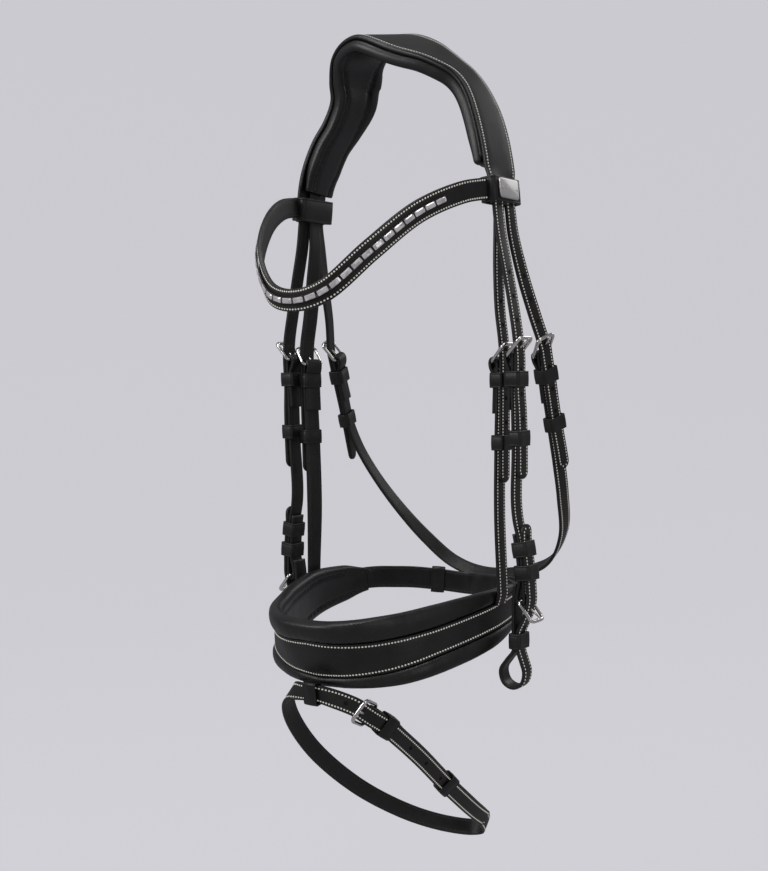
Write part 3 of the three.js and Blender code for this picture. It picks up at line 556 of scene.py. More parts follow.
# ---- Placing pieces ----
def place(solid, name, body, cad=None, slot="strap_leather", bend=None):
    """Makes the piece, lets it move with a body, and lets it stand for CAD nodes; a piece with `bend` is left
    unattached where it stands.
    """
    piece = solid.build(name, LOOKS[slot][:max(solid.m) + 1])
    if bend:
        a, start, end = bend
        tuple(np.array(start) * 0.001)
        tuple(np.array(end) * 0.001)
        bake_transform(piece)
    else:
        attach(piece, body)
    if cad:
        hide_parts(cad)
    return piece


def leaning(lean=0.0, level=0.0):
    """Mirror to the right, leaning out by `lean` for each mm above `level`."""
    return lambda v: np.stack([-v[:, 0] - lean * (v[:, 2] - level), v[:, 1], v[:, 2]], 1)


CHEEK_LEAN = leaning(RIGHT_SPREAD / 105, -220)
HANGER_LEAN = leaning(RIGHT_SPREAD / 275, -391)
PLAIN = leaning()


def place_pair(make, name, body, lean=PLAIN, slot="strap_leather", bend=None, cad=True):
    """A left-hand piece and its mate: `make(hand)` builds it on the left, and the mate is mirrored over."""
    sided = body.endswith(("cheek", "tongue", "keeper"))
    for hand, side in ((1, "left"), (-1, "right")):
        change = (lambda v: v) if hand > 0 else lean
        solid = make(hand) if hand > 0 else make(hand).warped(lean)
        ends = bend and (bend[0], change(np.array([bend[1]]))[0], change(np.array([bend[2]]))[0])
        place(solid, f"{name}_{side[0]}", f"{body}_{side}" if sided else body,
              f"{name}_{side}" if cad else None, slot, ends)


def place_buckle(heel, across, reach, name, frame_body, tongue_body, lean=PLAIN):
    """Both sides' buckle frames and tongues; `across` and `reach` give the directions for a hand."""
    for make, part, body in ((buckle, "", frame_body), (tongue, "_tongue", tongue_body)):
        place_pair(lambda hand, make=make: make(Solid(), heel, across(hand), reach(hand)),
                   f"{name}_buckle{part}", body, lean, "nickel_wire")


def middle_buckle(name, heel, across, reach, body, half_width):
    """The buckle of a strap on the middle line: a frame on a body, and a tongue on its own."""
    place(buckle(Solid(), heel, across, reach, half_width), f"{name}_buckle_frame", body, f"{name}_buckle",
          "nickel_wire")
    place(tongue(Solid(), heel, across, reach), f"{name}_tongue_pin", f"{name}_tongue",
          f"{name}_buckle_tongue", "nickel_wire")


HANGER_TURN = {1: 0.0, -1: -math.radians(22)}


def facing(angle=0.0):
    """Width direction of a side strap that hangs turned round the vertical by an angle."""
    angle = np.asarray(angle, float)
    return np.stack([np.sin(angle), np.cos(angle), 0 * angle], -1)


def edge_rows(solid, track, width, height, start, end, inner=True, inset=2.05, tip=False):
    """White stitches along both edges, with black backs; with `tip` the rows meet round the strap's end."""
    nose = width / 2
    rows = nose - inset
    end = track.length - inset - 0.3 if tip else end

    def offset(sign):
        bend = lambda s: np.clip((s - (track.length - nose)) / (nose - inset), 0, 1) if tip else 0 * s
        return lambda s: sign * rows * np.sqrt(1 - bend(s) ** 2)

    for sign in (-1, 1):
        stitches(solid, track, offset(sign), height - 0.06, start, end)
        if inner:
            stitches(solid, track, offset(sign), -height - 0.02, start, end, BACK_THREAD_SLOT, 0.28, 0.18)
    return solid


# ---- Headpiece ----
CROWN = [
    (-92.2, 11.5, -115), (-91.2, 11.5, -100), (-88.5, 13.5, -78), (-81, 18, -54), (-71.5, 20, -38),
    (-65, 20.5, -22), (-63.5, 19, -8), (-58, 17.5, 8), (-46, 16, 18.5), (-30, 15, 23.3), (-13, 15, 21.2),
    (7, 15, 14.6), (23, 16, 7.1), (36, 18, -2), (47.5, 20, -11.5), (57, 20.5, -22.5), (65.5, 20, -37),
    (73, 18, -54), (80.8, 14, -77), (85.7, 11.5, -100), (87.2, 11.5, -115)]


def from_poll(track, s, reach):
    return smooth(np.abs(s - track.length / 2), 0, reach)


def crown_across(track):
    share = track.s / track.length
    near = smooth(share, 0.44, 0.6)
    tilt = np.radians(12 + 12 * near) * (1 - from_poll(track, track.s, 75 + 35 * near))
    turn = math.radians(8) * smooth(share, 0.62, 0.8) * (1 - smooth(-track.P[:, 2], 88, 100))
    return np.stack([np.sin(turn), np.cos(tilt), np.sin(tilt)], 1)


crown = Track(CROWN, crown_across)
crown.P[:, 2] -= 4.3 * (1 - from_poll(crown, crown.s, 95)) * smooth(crown.s / crown.length, 0.44, 0.62)


def crown_width(s):
    away = np.abs(s - crown.length / 2)
    return 33 + 17 * (1 - from_poll(crown, s, 80)) - 4 * np.exp(-(((away - 85) / 22) ** 2))


def pad_width(s):
    return crown_width(s) + 2 + 8 * (1 - from_poll(crown, s, 110))


def bump(s, at, reach):
    return np.exp(-(((s - crown.length / 2 - at) / reach) ** 2))


def pad_shape(s, xy):
    """The padding's rear side widens into an ear beside the poll, and the right ear curls inwards."""
    rear = np.clip(xy[:, 0] / (pad_width(s) / 2), 0, 1)
    ear = 8 * bump(s, 42, 22) + 10 * bump(s, -68, 30)
    return xy + np.stack([ear * rear ** 1.5, -7 * bump(s, -70, 32) * rear ** 2], 1)


HEAD_THICKNESS = 2.6
head = Solid()
strap(head, crown, crown_width, HEAD_THICKNESS, section=lambda w, t: belt_section(w, t, crown=0.1))
for sign in (-1, 1):
    row = lambda s, sign=sign: sign * (crown_width(s) / 2 - 2.6)
    stitches(head, crown, row, HEAD_THICKNESS / 2 - 0.04, 4, crown.length - 4)
place(head, "headpiece_top", "headpiece", "headpiece_leather")

lift = -HEAD_THICKNESS / 2 - 2 * GAP - LEATHER / 2
strap_under = Solid()
strap(strap_under, crown, STRAP_WIDTH, LEATHER, lift=lift)
place(strap_under, "headstrap_under", "headpiece", "noseband_headstrap", "lining_leather")


def roll_outline(width, depth, seam, lip, close, n=72, pucker=0.0):
    """A padded section: rounded sides, a sewn channel near each edge on the inner face."""
    a = np.arange(n) * 2 * math.pi / n + math.pi / n - math.pi
    x = width / 2 * np.sign(np.cos(a)) * np.abs(np.cos(a)) ** 0.42
    y = depth / 2 * np.sign(np.sin(a)) * np.abs(np.sin(a)) ** 0.72
    inner = y < 0
    channel = np.exp(-(((np.abs(x) - (width / 2 - seam)) / 1.1) ** 2))
    y = y + np.where(inner, (lip + pucker) * channel, 0)
    y = y - np.where(inner, 0.9 * (1 - (x / (width / 2)) ** 2), 0)
    y = y + np.where(inner, 0, close * smooth(np.abs(x), 7.2, 9.5) * smooth(y, 0, depth / 2))
    return np.stack([x, y], 1)


def rounded_stops(start, end, reach, inset, turn):
    """Distances along a stuffed roll, closer together where its ends are rounded."""
    into = reach * (1 - np.cos(turn))
    return np.concatenate([start + into, np.arange(start + inset, end - inset, 1.5), end - into[::-1]])


pad_start, pad_end = 23.0, crown.length - 30.0
PAD_DEPTH = 8.3
pad_lift = lift - LEATHER / 2 - 2 * GAP - PAD_DEPTH / 2
s = rounded_stops(pad_start, pad_end, 3.2, 4.5, np.linspace(0.2, math.pi / 2, 6))
P, T, S, O = crown.at(s)
near_end = np.minimum(s - pad_start, pad_end - s)
ends = np.clip(near_end / 3.2, 0, 1)
thin = np.where(s < crown.length / 2, 0.42, 0.72)
fat = (0.35 + 0.65 * np.sqrt(1 - (1 - ends) ** 2)) * (thin + (1 - thin) * smooth(near_end, 0, 26))
wave = 0.6 * np.sin(s * 1.25) + 0.4 * np.sin(s * 0.71 + 1)
outline = np.stack([pad_shape(a, roll_outline(w * (0.86 + 0.14 * f), (PAD_DEPTH - 1.1) * f, 6.5, 1.7,
                                              3.9 * f ** 0.5, pucker=0.6 * q))
                    for a, w, f, q in zip(s, pad_width(s), fat, wave)])
outline[..., 1] += (pad_lift + 0.2 + (1 - fat) * 1.4)[:, None]
pad = Solid().loft(ring_points(P, S, O, outline))
for sign in (-1, 1):
    row = lambda x, sign=sign: sign * (pad_width(x) / 2 - 6.5)
    stitches(pad, crown, row, pad_lift - PAD_DEPTH / 2 + 1.35, pad_start + 5, pad_end - 5, wide=0.25,
             tall=0.2)
    xs = np.arange(pad_start + 2, pad_end - 1, 2.0)
    wp, _, ws, wo = crown.at(xs)
    poll = 1 - from_poll(crown, xs, 100)
    thick = 0.95 + (1.2 if sign > 0 else 0.6) * poll
    beside = sign * (crown_width(xs) / 2 + 0.3 + thick * 0.3 * poll)
    line = wp + ws * beside[:, None] - wo * (2.0 - 1.3 * poll)[:, None]
    sweep(pad, line, (0, 1, 0.2), thick, sides=12)
place(pad, "headpiece_pad", "headpiece", "headpiece_padding", "soft_leather")

# ---- Browband ----
BROW = [
    (-89.8, -8.2, -104.5), (-85, -30, -108.5), (-70.5, -64, -125), (-51, -95, -153), (-24, -113, -180),
    (0, -116.5, -185), (22, -113, -179), (47, -94, -152), (65, -64, -125.5), (79, -30, -110),
    (85, -8.2, -105.5)]
brow = Track(BROW, (0, -0.12, 1))
BROW_WIDTH, BROW_THICK = 15.5, 3.4
LOOP_X, LOOP_DROP, LOOP_HEIGHT = 84.9, 105.5, 18.0
band = Solid()
strap(band, brow, BROW_WIDTH, BROW_THICK, section=lambda w, t: belt_section(w, t, crown=0.05))
edge_rows(band, brow, BROW_WIDTH, BROW_THICK / 2 + 0.06, 1, brow.length - 1, inset=1.7)


def brow_loop(sign):
    """The tube that the headpiece straps pass through."""
    out = np.cross(Y, unit((-0.1, 0, 1)))
    loop = arc_rectangle(18.3, 5.7, 2.6, per_corner=8)
    wall = 1.8
    edge = [(0, wall - 0.4), (0, 0.5), (0.25, 0.12), (0.7, 0), (1.4, 0), (1.7, 0.14), (2.0, 0)]
    solid = tube(Solid(), vec(LOOP_X, 11.5, -LOOP_DROP), Y, out, np.cross(Y, out), loop, LOOP_HEIGHT, wall,
                 edge, 0.1)
    return solid if sign > 0 else solid.warped(lambda v: v * [-1, 1, 1] - [RIGHT_SPREAD, 0, 0])


for sign in (1, -1):
    loop = brow_loop(sign)
    band.add(np.vstack(loop.v), loop.f)
place(band, "browband_band", "browband", "browband_leather")

gems = Solid()
u0, u1, count = 0.15 * brow.length, 0.885 * brow.length, 27
base = BROW_THICK / 2 + 2 * GAP
channel_section = lambda w, t: np.array([
    (-w / 2, -t / 2), (w / 2, -t / 2), (w / 2, t * 1.5), (w / 2 - 0.45, t * 1.5), (w / 2 - 0.5, t / 2),
    (-w / 2 + 0.5, t / 2), (-w / 2 + 0.45, t * 1.5), (-w / 2, t * 1.5)])
strap(gems, brow, 4.6, 0.6, start=u0, end=u1, lift=base + 0.3, section=channel_section, slot=1)
pitch = (u1 - u0) / count
STONE = [(-1, -0.8), (-0.85, -1), (0.85, -1), (1, -0.8), (1, 0.8), (0.85, 1), (-0.85, 1), (-1, 0.8)]
for k in range(count):
    P, T, S, O = (a[0] for a in brow.at(u0 + pitch * (k + 0.5)))
    a, b = pitch * 0.43, 1.85
    gems.loft([[P + O * (base + h) + T * x * a * f + S * y * b * f for x, y in STONE]
               for f, h in ((1.0, 0.5), (1.0, 1.15), (0.72, 1.75), (0.5, 1.85))])
gem_piece = place(gems, "crystal_row", "browband", "browband_crystals", "clear_crystal")
gem_piece.data.polygons.foreach_set("use_smooth", [m == 1 for m in gems.m])

for sign, side in ((1, "left"), (-1, "right")):
    plate = Solid()
    low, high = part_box(f"browband_plate_{side}")
    centre = (np.array(low) + np.array(high)) * 500
    up = unit(vec(-0.1 * sign, 0, 1))
    out = np.cross(Y, up) * sign
    along = Y * sign
    shape = arc_rectangle(12.5, 7.1, 1.8, per_corner=6)
    plate.loft([[centre + along * x * (1 + k) * 0.5 + up * y * k + out * h for x, y in shape]
                for k, h in ((0.985, -0.9), (1, -0.75), (1, 0.35), (0.985, 0.65), (0.955, 0.8), (0.9, 0.86))])
    for sx in (-1, 1):
        post = centre + along * sx * 10.1 + out * 0.8
        turn = np.arange(14) * math.pi / 7
        plate.loft([post + out * h + np.outer(np.cos(turn) * r, along) + np.outer(np.sin(turn) * r, up)
                    for r, h in ((0.95, -0.3), (0.95, 0.12), (0.75, 0.32), (0.35, 0.42))])
    place(plate, f"browband_nameplate_{side[0]}", "browband", f"browband_plate_{side}", "satin_plate")

# ---- Cheekpieces ----
CHEEK_HEEL = pivot("cheek_tongue_lift_left")
BIT_HEEL = pivot("bit_tongue_lift_left")
HANGER_HEEL = pivot("hanger_tongue_lift_left")
THROAT_HEEL = pivot("throat_tongue_lift_left")
CHIN_HEEL = pivot("chin_tongue_lift")
FLASH_HEEL = pivot("flash_tongue_lift")
LOOP_TURN = math.radians(5)


def cheekpiece(hand):
    foot = [vec(p[0], p[1], 2 * BIT_HEEL[2] - p[2]) for p in fold_points(BIT_HEEL, Y, DOWN, 0)[3:]][::-1]
    main = Track(fold_points(CHEEK_HEEL, Y, DOWN, 38) + [
        (104, 0, -245), (104.7, 0, -290), (103.9, 0, -326), (105.2, 0, -340), (108.6, 0, -354),
        (110.6, 0, -366), (112, 0, -378), (112.7, 0, -390)] + foot + [
        (107.5, 0, -392), (109.4, 0, -383), (107.8, 0, -366), (105.8, 0, -354), (105, 0, -350)], Y)
    loop = Track([
        (105.8, 0, -386), (104.8, 0, -395), (104.3, 0, -410), (104.2, 0, -422), (104, 0, -433.5),
        (98, 0, -441.3), (93.1, 0, -449.2), (95.4, 0, -457.7), (102.4, 0, -461), (109.7, 0, -457.7),
        (112.2, 0, -449.2), (109.9, 0, -441.3), (107.3, 0, -433.5), (107.1, 0, -422), (112.5, 0, -410),
        (115.9, 0, -398), (115.7, 0, -389), (114.9, 0, -378), (113.5, 0, -366), (111.9, 0, -355),
        (111.7, 0, -343)],
        lambda track: -facing(-LOOP_TURN * smooth(-track.P[:, 2], 415, 442)))
    solid = strap(Solid(), main)
    edge_rows(solid, main, STRAP_WIDTH, FACE, main.near(CHEEK_HEEL + vec(FOLD, 0, -4)),
              main.near(BIT_HEEL + vec(FOLD, 0, 5)))
    strap(solid, loop, tip=True)
    edge_rows(solid, loop, STRAP_WIDTH, FACE, 22, loop.length, tip=True)
    return punch(solid, loop, [loop.near((113, 0, -352)), loop.near((110, 0, -417))])


def cheek_billet(hand):
    track = Track([
        (84.6, 4.8, -96), (86.2, 4.4, -106), (87.4, 3.6, -116.5), (90, 3, -135), (96, 2, -162),
        (101.5, 1, -188), (105.3, 0, -208), (106.95, 0, -224), (106.95, 0, -245), (108.2, 0, -265),
        (108.8, 0, -290), (108.8, 0, -311)], Y)
    return billet(track, STRAP_WIDTH, (106.4, 0, -216), range(-3, 4))


def billet(track, width, pinned, holes):
    """A punched billet with a rounded tip; `holes` are counted from the one near the buckle's tongue."""
    solid = strap(Solid(), track, width, tip=True)
    edge_rows(solid, track, width, FACE, 12, track.length, tip=True)
    first = track.near(pinned)
    return punch(solid, track, [first + HOLE_PITCH * k for k in holes])


def upright(centre, down, depth, turns=None):
    return lambda hand: keeper(Solid(), centre, facing(turns[hand]) if turns else Y, down, STRAP_WIDTH, depth)


place_pair(cheekpiece, "cheekpiece", "cheek", CHEEK_LEAN)
place_pair(cheek_billet, "cheek_billet", "cheek", CHEEK_LEAN,
           bend=("headpiece", (87, 4, -114), (93, 3, -150)))
for name, body, centre, down, depth in (
        ("cheek_keeper_fixed", "cheek", (104.3, 0, -240), DOWN, 9.2),
        ("bit_keeper_upper", "cheek", (109.9, 0, -361), (0.17, 0, -1), 8.8),
        ("bit_keeper_lower", "cheek", (105.8, 0, -427), DOWN, 6.4),
        ("cheek_keeper_running", "cheek_keeper", (106.5, 0, -282), DOWN, 7.4),
        ("bit_keeper_middle", "bit_keeper", (112.1, 0, -377.5), (0.11, 0, -1), 9.6)):
    place_pair(upright(centre, down, depth), name, body, CHEEK_LEAN)


SIDE_REACH = reach_of(Y, DOWN, 40)
place_buckle(CHEEK_HEEL, lambda hand: Y, lambda hand: SIDE_REACH, "cheek", "cheek", "cheek_tongue",
             CHEEK_LEAN)
place_buckle(BIT_HEEL, lambda hand: -Y, lambda hand: SIDE_REACH * [1, 1, -1], "bit", "cheek", "bit_tongue",
             CHEEK_LEAN)


# ---- Noseband hangers ----
def hanger_strap(hand):
    track = Track(fold_points(HANGER_HEEL, facing(HANGER_TURN[hand]), DOWN, 37) + [
        (87.6, HANGER_Y, -250), (86.6, HANGER_Y, -290), (86.2, HANGER_Y, -341), (88.3, HANGER_Y, -391),
        (88.4, HANGER_Y, -397), (86.2, HANGER_Y, -404)],
        lambda track: facing(HANGER_TURN[hand] * (1 - 0.7 * smooth(-track.P[:, 2], 330, 400))))
    solid = strap(Solid(), track)
    return edge_rows(solid, track, STRAP_WIDTH, FACE, track.near(HANGER_HEEL + vec(FOLD, 0, -4)),
                     track.length - 1)


def hanger_billet(hand):
    track = Track([
        (81.6, 11.5, -98), (82.6, 11.5, -108), (83.4, 11.5, -116.5), (83.3, 11.5, -135), (84.2, 9.5, -160),
        (86.5, 7.5, -190), (89.8, 6.5, -212), (90.7, 6.5, -224), (90.7, 6.5, -246), (90.4, 6.5, -290),
        (90.2, 6.5, -315)], lambda track: facing(HANGER_TURN[hand] * smooth(-track.P[:, 2], 122, 180)))
    return billet(track, BILLET_WIDTH, (90, 6.5, -219), range(-2, 4))


place_pair(hanger_strap, "hanger_strap", "noseband", HANGER_LEAN)
place_pair(hanger_billet, "hanger_billet", "noseband", HANGER_LEAN,
           bend=("headpiece", (83.4, 11.5, -114), (83.6, 10, -152)))
place_pair(upright((87.8, HANGER_Y, -241), DOWN, 8.3, HANGER_TURN), "hanger_keeper_sewn", "noseband",
           HANGER_LEAN, cad=False)
place_pair(upright((88.6, HANGER_Y, -286), DOWN, 7.6, HANGER_TURN), "hanger_keeper_running",
           "hanger_keeper", HANGER_LEAN)
place_buckle(HANGER_HEEL, lambda hand: facing(HANGER_TURN[hand]),
             lambda hand: reach_of(facing(HANGER_TURN[hand]), DOWN, 40), "hanger", "noseband",
             "hanger_tongue", HANGER_LEAN)

# ---- Throatlash ----
THROAT_DOWN = vec(0, 0.3, -0.954)
THROAT_ACROSS = unit((0.22, 0.93, 0.2925))
throat_out = unit(np.cross(THROAT_DOWN, THROAT_ACROSS))
throat_reach = reach_of(THROAT_ACROSS, THROAT_DOWN, 30)
throat_end = fold_points(THROAT_HEEL, THROAT_ACROSS, THROAT_DOWN, 36)


def throat_across(track):
    u = track.s / track.length
    left = u <= 0.5
    under = smooth(np.where(left, u, 1 - u), 0.24, 0.42)[:, None]
    side = THROAT_ACROSS * (1 - under) + vec(0, 0.83, 0.55) * under
    return np.where(left[:, None], side, side * [-1, 1, 1])


throat_track = Track(throat_end + [
    (97.6, 55.5, -238), (97.6, 66.5, -274), (97.8, 75.5, -305), (96, 85, -331), (87, 103, -363),
    (66, 117, -389), (35, 120.5, -401), (0, 121, -404), (-26, 118.5, -396.5), (-50, 112.5, -377),
    (-70, 102, -352), (-84, 89, -326), (-93.5, 77.5, -301), (-97.4, 70, -282), (-97.6, 66.5, -274),
    (-97.6, 55.5, -238)] + [p * [-1, 1, 1] for p in throat_end[::-1]], throat_across)
throat = strap(Solid(), throat_track)
first = throat_track.near(THROAT_HEEL + throat_out * FOLD + THROAT_DOWN * 4)
edge_rows(throat, throat_track, STRAP_WIDTH, FACE, first, throat_track.length - first)
place(throat, "throatlash_strap", "throatlash", "throatlash")
over = THROAT_HEEL + throat_out * (FOLD + LAYER + 0.3)


def throat_billet(hand):
    spread = 0 if hand > 0 else RIGHT_SPREAD

    def across(track):
        t = smooth(track.s / track.length, 0, 0.45)[:, None]
        return Y * (1 - t) + THROAT_ACROSS * t

    track = Track([
        (84.6 + spread, 19, -96), (86.2 + spread, 19.4, -106), (87.4 + spread, 20.5, -116.5),
        (88 + spread * 0.9, 24, -135), (91.5 + spread * 0.6, 32, -165), (96 + spread * 0.2, 40.5, -192),
        over - THROAT_DOWN * 6, over, over + THROAT_DOWN * 12, (100.6, 65.5, -273), (101, 71, -290),
        (101.3, 77, -309)], across)
    return billet(track, BILLET_WIDTH, over - THROAT_DOWN * 9, range(-3, 4))


place_pair(throat_billet, "throat_billet", "throatlash",
           bend=("headpiece", (87.4, 20.5, -114), (90, 28, -152)))
place_pair(lambda hand: keeper(Solid(), THROAT_HEEL + THROAT_DOWN * 15 + throat_out * FOLD, THROAT_ACROSS,
                               THROAT_DOWN, STRAP_WIDTH, 8.8),
           "throat_keeper_sewn", "throatlash", cad=False)
place_pair(lambda hand: keeper(Solid(), (99.2, 66.3, -274), THROAT_ACROSS, (0.01, 0.3, -0.95),
                               STRAP_WIDTH + 0.4, 6.8),
           "throat_keeper_running", "throat_keeper")
place_buckle(THROAT_HEEL, lambda hand: THROAT_ACROSS, lambda hand: throat_reach, "throat", "throatlash",
             "throat_tongue")

# ---- Noseband ----
NOSE_HALF = [vec(*p) for p in (
    (0, -107, -431), (20, -105, -430.5), (38, -96, -429), (55, -81, -426), (67, -62, -422.5),
    (79, -31, -417.5), (86, -5, -413), (86.5, 12, -410.5), (81, 38, -408), (68, 60, -406.5))]
GUARD = [(56, 73.5, -407), (43, 84.5, -407.5), (24, 94.5, -409.5), (4, 99.5, -411)]


def nose_across(track):
    x, y = track.P[:, 0], track.P[:, 1]
    lean = 1 - smooth(y, -108, -60)
    flare = -0.0015 * x * (1 - smooth(y, 15, 60))
    return np.stack([flare, 0.08 - 0.57 * lean, np.ones(len(x))], 1)


nose = Track([p * [-1, 1, 1] for p in NOSE_HALF[:0:-1]] + NOSE_HALF + GUARD, nose_across)
wing = nose.near((0, -107, -431))
along_wing = lambda s: np.clip(np.abs(s - wing) / wing, 0, 1)
table = lambda s, values: np.interp(along_wing(s), np.linspace(0, 1, len(values)), values)
pad_height = lambda s: table(s, [53, 52.5, 51, 49, 47.5, 45, 41, 34.5, 28, 21])
nose_width = lambda s: table(s, [31, 28, 24, 21, 19, 18.5, 18, 18, 17.5, 17])
low_front = lambda s: -3.4 * (1 - smooth(along_wing(s), 0.12, 0.75))
centre_band = Solid()
strap(centre_band, nose, nose_width, LEATHER, lift=-LEATHER / 2, shift=low_front, tip=True, head=True,
      section=lambda w, t: belt_section(w, t, crown=0.25))
for sign in (-1, 1):
    row = lambda s, sign=sign: sign * (nose_width(s) / 2 - 2.2) + low_front(s)
    stitches(centre_band, nose, row, -0.02, 6, nose.length - 6)
CHIN_AHEAD = unit((0.72, -0.69, 0.02))
chin_out = unit((0.69, 0.72, 0))
CHIN_ACROSS = np.cross(chin_out, CHIN_AHEAD)
chin_reach = reach_of(CHIN_ACROSS, CHIN_AHEAD, 35)
chin_at = lambda out, ahead: CHIN_HEEL + chin_out * out + CHIN_AHEAD * ahead
CHIN_WIDTH = 18.0
chape = Track(fold_points(CHIN_HEEL, CHIN_ACROSS, CHIN_AHEAD, 14)[1:] + [
    chin_at(FOLD, 8), chin_at(1.2, 17), chin_at(-3.0, 25)], CHIN_ACROSS)
strap(centre_band, chape, CHIN_WIDTH - 2)
edge_rows(centre_band, chape, CHIN_WIDTH - 2, FACE, 14, chape.length - 2, inner=False)
place(centre_band, "noseband_centre", "noseband", "noseband_leather")


def noseband_outline(height, band, offset, depth, roll, gather):
    """Section of the padded noseband: a stuffed roll along each edge of a recess for the centre leather."""
    h, b = height / 2, min(band / 2 + 0.35, height / 2 - 3.2)
    swell = lambda lo, hi: [
        ((lo + hi) / 2 + (hi - lo) / 2 * math.cos(a), -2.4 + (roll + 2.4) * math.sin(a) ** 0.72)
        for a in np.linspace(0.0, math.pi, 14)]
    top, foot = min(b + offset, h - 3.0), max(-b + offset, -h + 3.0)
    floor = [(top - 0.2, -3.1), (0, -3.1), (foot + 0.2, -3.1)]
    inner = []
    for a in np.linspace(0.1, math.pi - 0.1, 40):
        x = abs(math.cos(a)) ** 0.5
        hollow = 0.30 * (1 - x * x) + 0.16 * math.exp(-((x - 0.62) / 0.07) ** 2) * (1 + gather)
        inner.append((-h * math.copysign(x, math.cos(a)),
                      -2.4 - (depth - 2.4) * (math.sin(a) ** 0.62) * (1 - hollow)))
    return np.array(swell(top, h) + floor + swell(-h, foot) + inner)


pad_from, pad_to = 0.012 * nose.length, 2 * wing - 0.02 * nose.length
s = rounded_stops(pad_from, pad_to, 4, 5.5, np.linspace(0.25, math.pi / 2, 7))
P, T, S, O = nose.at(s)
near_end = np.minimum(s - pad_from, pad_to - s)
ends = np.clip(near_end / 4, 0, 1)
fat = (0.5 + 0.5 * np.sqrt(1 - (1 - ends) ** 2)) * (0.6 + 0.4 * smooth(near_end, 0, 30))
tall = 0.82 + 0.18 * smooth(near_end, 0, 22)
gathers = np.sin(s * 1.15 + 0.6 * np.sin(s * 0.31)) * smooth(along_wing(s), 0.3, 0.8)
ripple = 0.06 * np.sin(s * 0.9) + 0.1 * np.sin(s * 0.31 + 2)
outline = np.stack([
    noseband_outline(hh, ww, oo, (12.2 - 3.2 * aw) * f, (2.1 - 1.0 * aw) * f + r * (1 - aw), g)
    for hh, ww, oo, aw, f, r, g in zip(pad_height(s) * tall, nose_width(s), low_front(s), along_wing(s), fat,
                                       ripple, gathers)])
nose_pad = Solid().loft(ring_points(P, S, O, outline[:, ::-1]))
place(nose_pad, "noseband_pad", "noseband", "noseband_padding", "soft_leather")

# ---- Chin strap ----
chin_track = Track([
    (-78.5, 49.5, -407), (-67.8, 65.5, -406.5), (-58, 74.5, -406.8), (-44, 86, -407.5), (-24, 97, -409.5),
    (-4, 102, -411), (12, 100.5, -410.5), (25, 97, -409.5), (44.5, 87.5, -407.7), chin_at(3.6, -10.5),
    chin_at(FOLD + LAYER + 0.3, -1), chin_at(FOLD + LAYER + 0.3, 9), chin_at(4.2, 18), chin_at(-0.2, 28),
    (84.5, 41.5, -408)], (0, 0, -1))
chin = Solid()
strap(chin, chin_track, CHIN_WIDTH, tip=True, head=True)
edge_rows(chin, chin_track, CHIN_WIDTH, FACE, 6, chin_track.length - 6)
punch(chin, chin_track, [chin_track.near(CHIN_HEEL) + 15 * k for k in (-4, -3, -2, -1, 1)])
place(chin, "chin_band", "noseband", "chin_strap", "lining_leather")
place(keeper(Solid(), (-27, 95.6, -409.2), (0, 0, 1), (0.87, 0.49, -0.06), CHIN_WIDTH + 0.4,
             LEATHER + 1), "chin_keeper_running", "chin_keeper", "chin_keeper")
middle_buckle("chin", CHIN_HEEL, CHIN_ACROSS, chin_reach, "noseband", CHIN_WIDTH / 2 + 2.2)

# ---- Flash ----
FLASH_AHEAD = unit((0.22, 0.8, -0.56))
flash_out = unit((0.882, -0.408, -0.236))
FLASH_ACROSS = unit(np.cross(flash_out, FLASH_AHEAD))
flash_reach = reach_of(FLASH_ACROSS, FLASH_AHEAD, 22)
flash_at = lambda out, ahead: FLASH_HEEL + flash_out * out + FLASH_AHEAD * ahead


def flash_across(track):
    x, y, z = track.P.T
    flat = 1 - smooth(np.abs(x), 6, 26)
    front = np.where(y < -80, flat, 0)
    level = smooth(-z, 578, 606)
    turned = smooth(y, -66, -40)
    left = x > 0
    side = np.where(left, 0.39 + 0.16 * turned, 0.23) * (1 - flat) * (1 - level)
    lean = np.where(left, 0.42 + 0.2 * turned, 0.62) * (1 - front) - 0.1 * front
    return np.stack([side, lean, np.full(len(x), 0.75)], 1)


flash_track = Track(fold_points(FLASH_HEEL, FLASH_ACROSS, FLASH_AHEAD, 24) + [
    flash_at(FOLD, 14), flash_at(2.5, 22), (40.3, -59.4, -492.2), (41.6, -34.2, -513), (41.2, 0, -542.2),
    (39.2, 39.4, -572.8), (34, 68, -593), (27, 80, -604), (16, 79, -607), (4, 66, -603.5), (-10, 49, -596),
    (-24, 29, -584), (-35, -10, -557), (-41.5, -52, -520), (-38, -82, -487), (-29, -97, -468),
    (-18, -104, -459.5), (-4, -107, -457.3), (8, -106.3, -457.5), flash_at(2.2, -16), flash_at(4.2, -8),
    flash_at(FOLD + LAYER, -1), flash_at(FOLD + LAYER, 12), (42.6, -60.6, -493.6), (43.9, -35.4, -514.4),
    (43.5, -1.2, -543.6), (41.6, 38.2, -574.2), (37.3, 66, -592.2)], flash_across)
flash = Solid()
strap(flash, flash_track, tip=True)
first = flash_track.near(FLASH_HEEL + flash_out * FOLD + FLASH_AHEAD * 5)
edge_rows(flash, flash_track, STRAP_WIDTH, FACE, first, flash_track.length, tip=True)
billet_from = flash_track.near(flash_at(4.2, -8), after=0.6)
punch(flash, flash_track, [billet_from + 4 + 25 * k for k in (-0.8, 1, 2, 3, 4)])
place(flash, "flash_band", "flash", "flash_strap")
place(keeper(Solid(), flash_at(FOLD, 15), FLASH_ACROSS, FLASH_AHEAD, STRAP_WIDTH, 8.3), "flash_keeper_sewn",
      "flash")
place(keeper(Solid(), (42.3, 0.9, -544), (0.55, 0.62, 0.75), (-0.025, 0.776, -0.63),
             STRAP_WIDTH + 0.4, 6.4), "flash_keeper_slide", "flash_keeper", "flash_keeper_running")
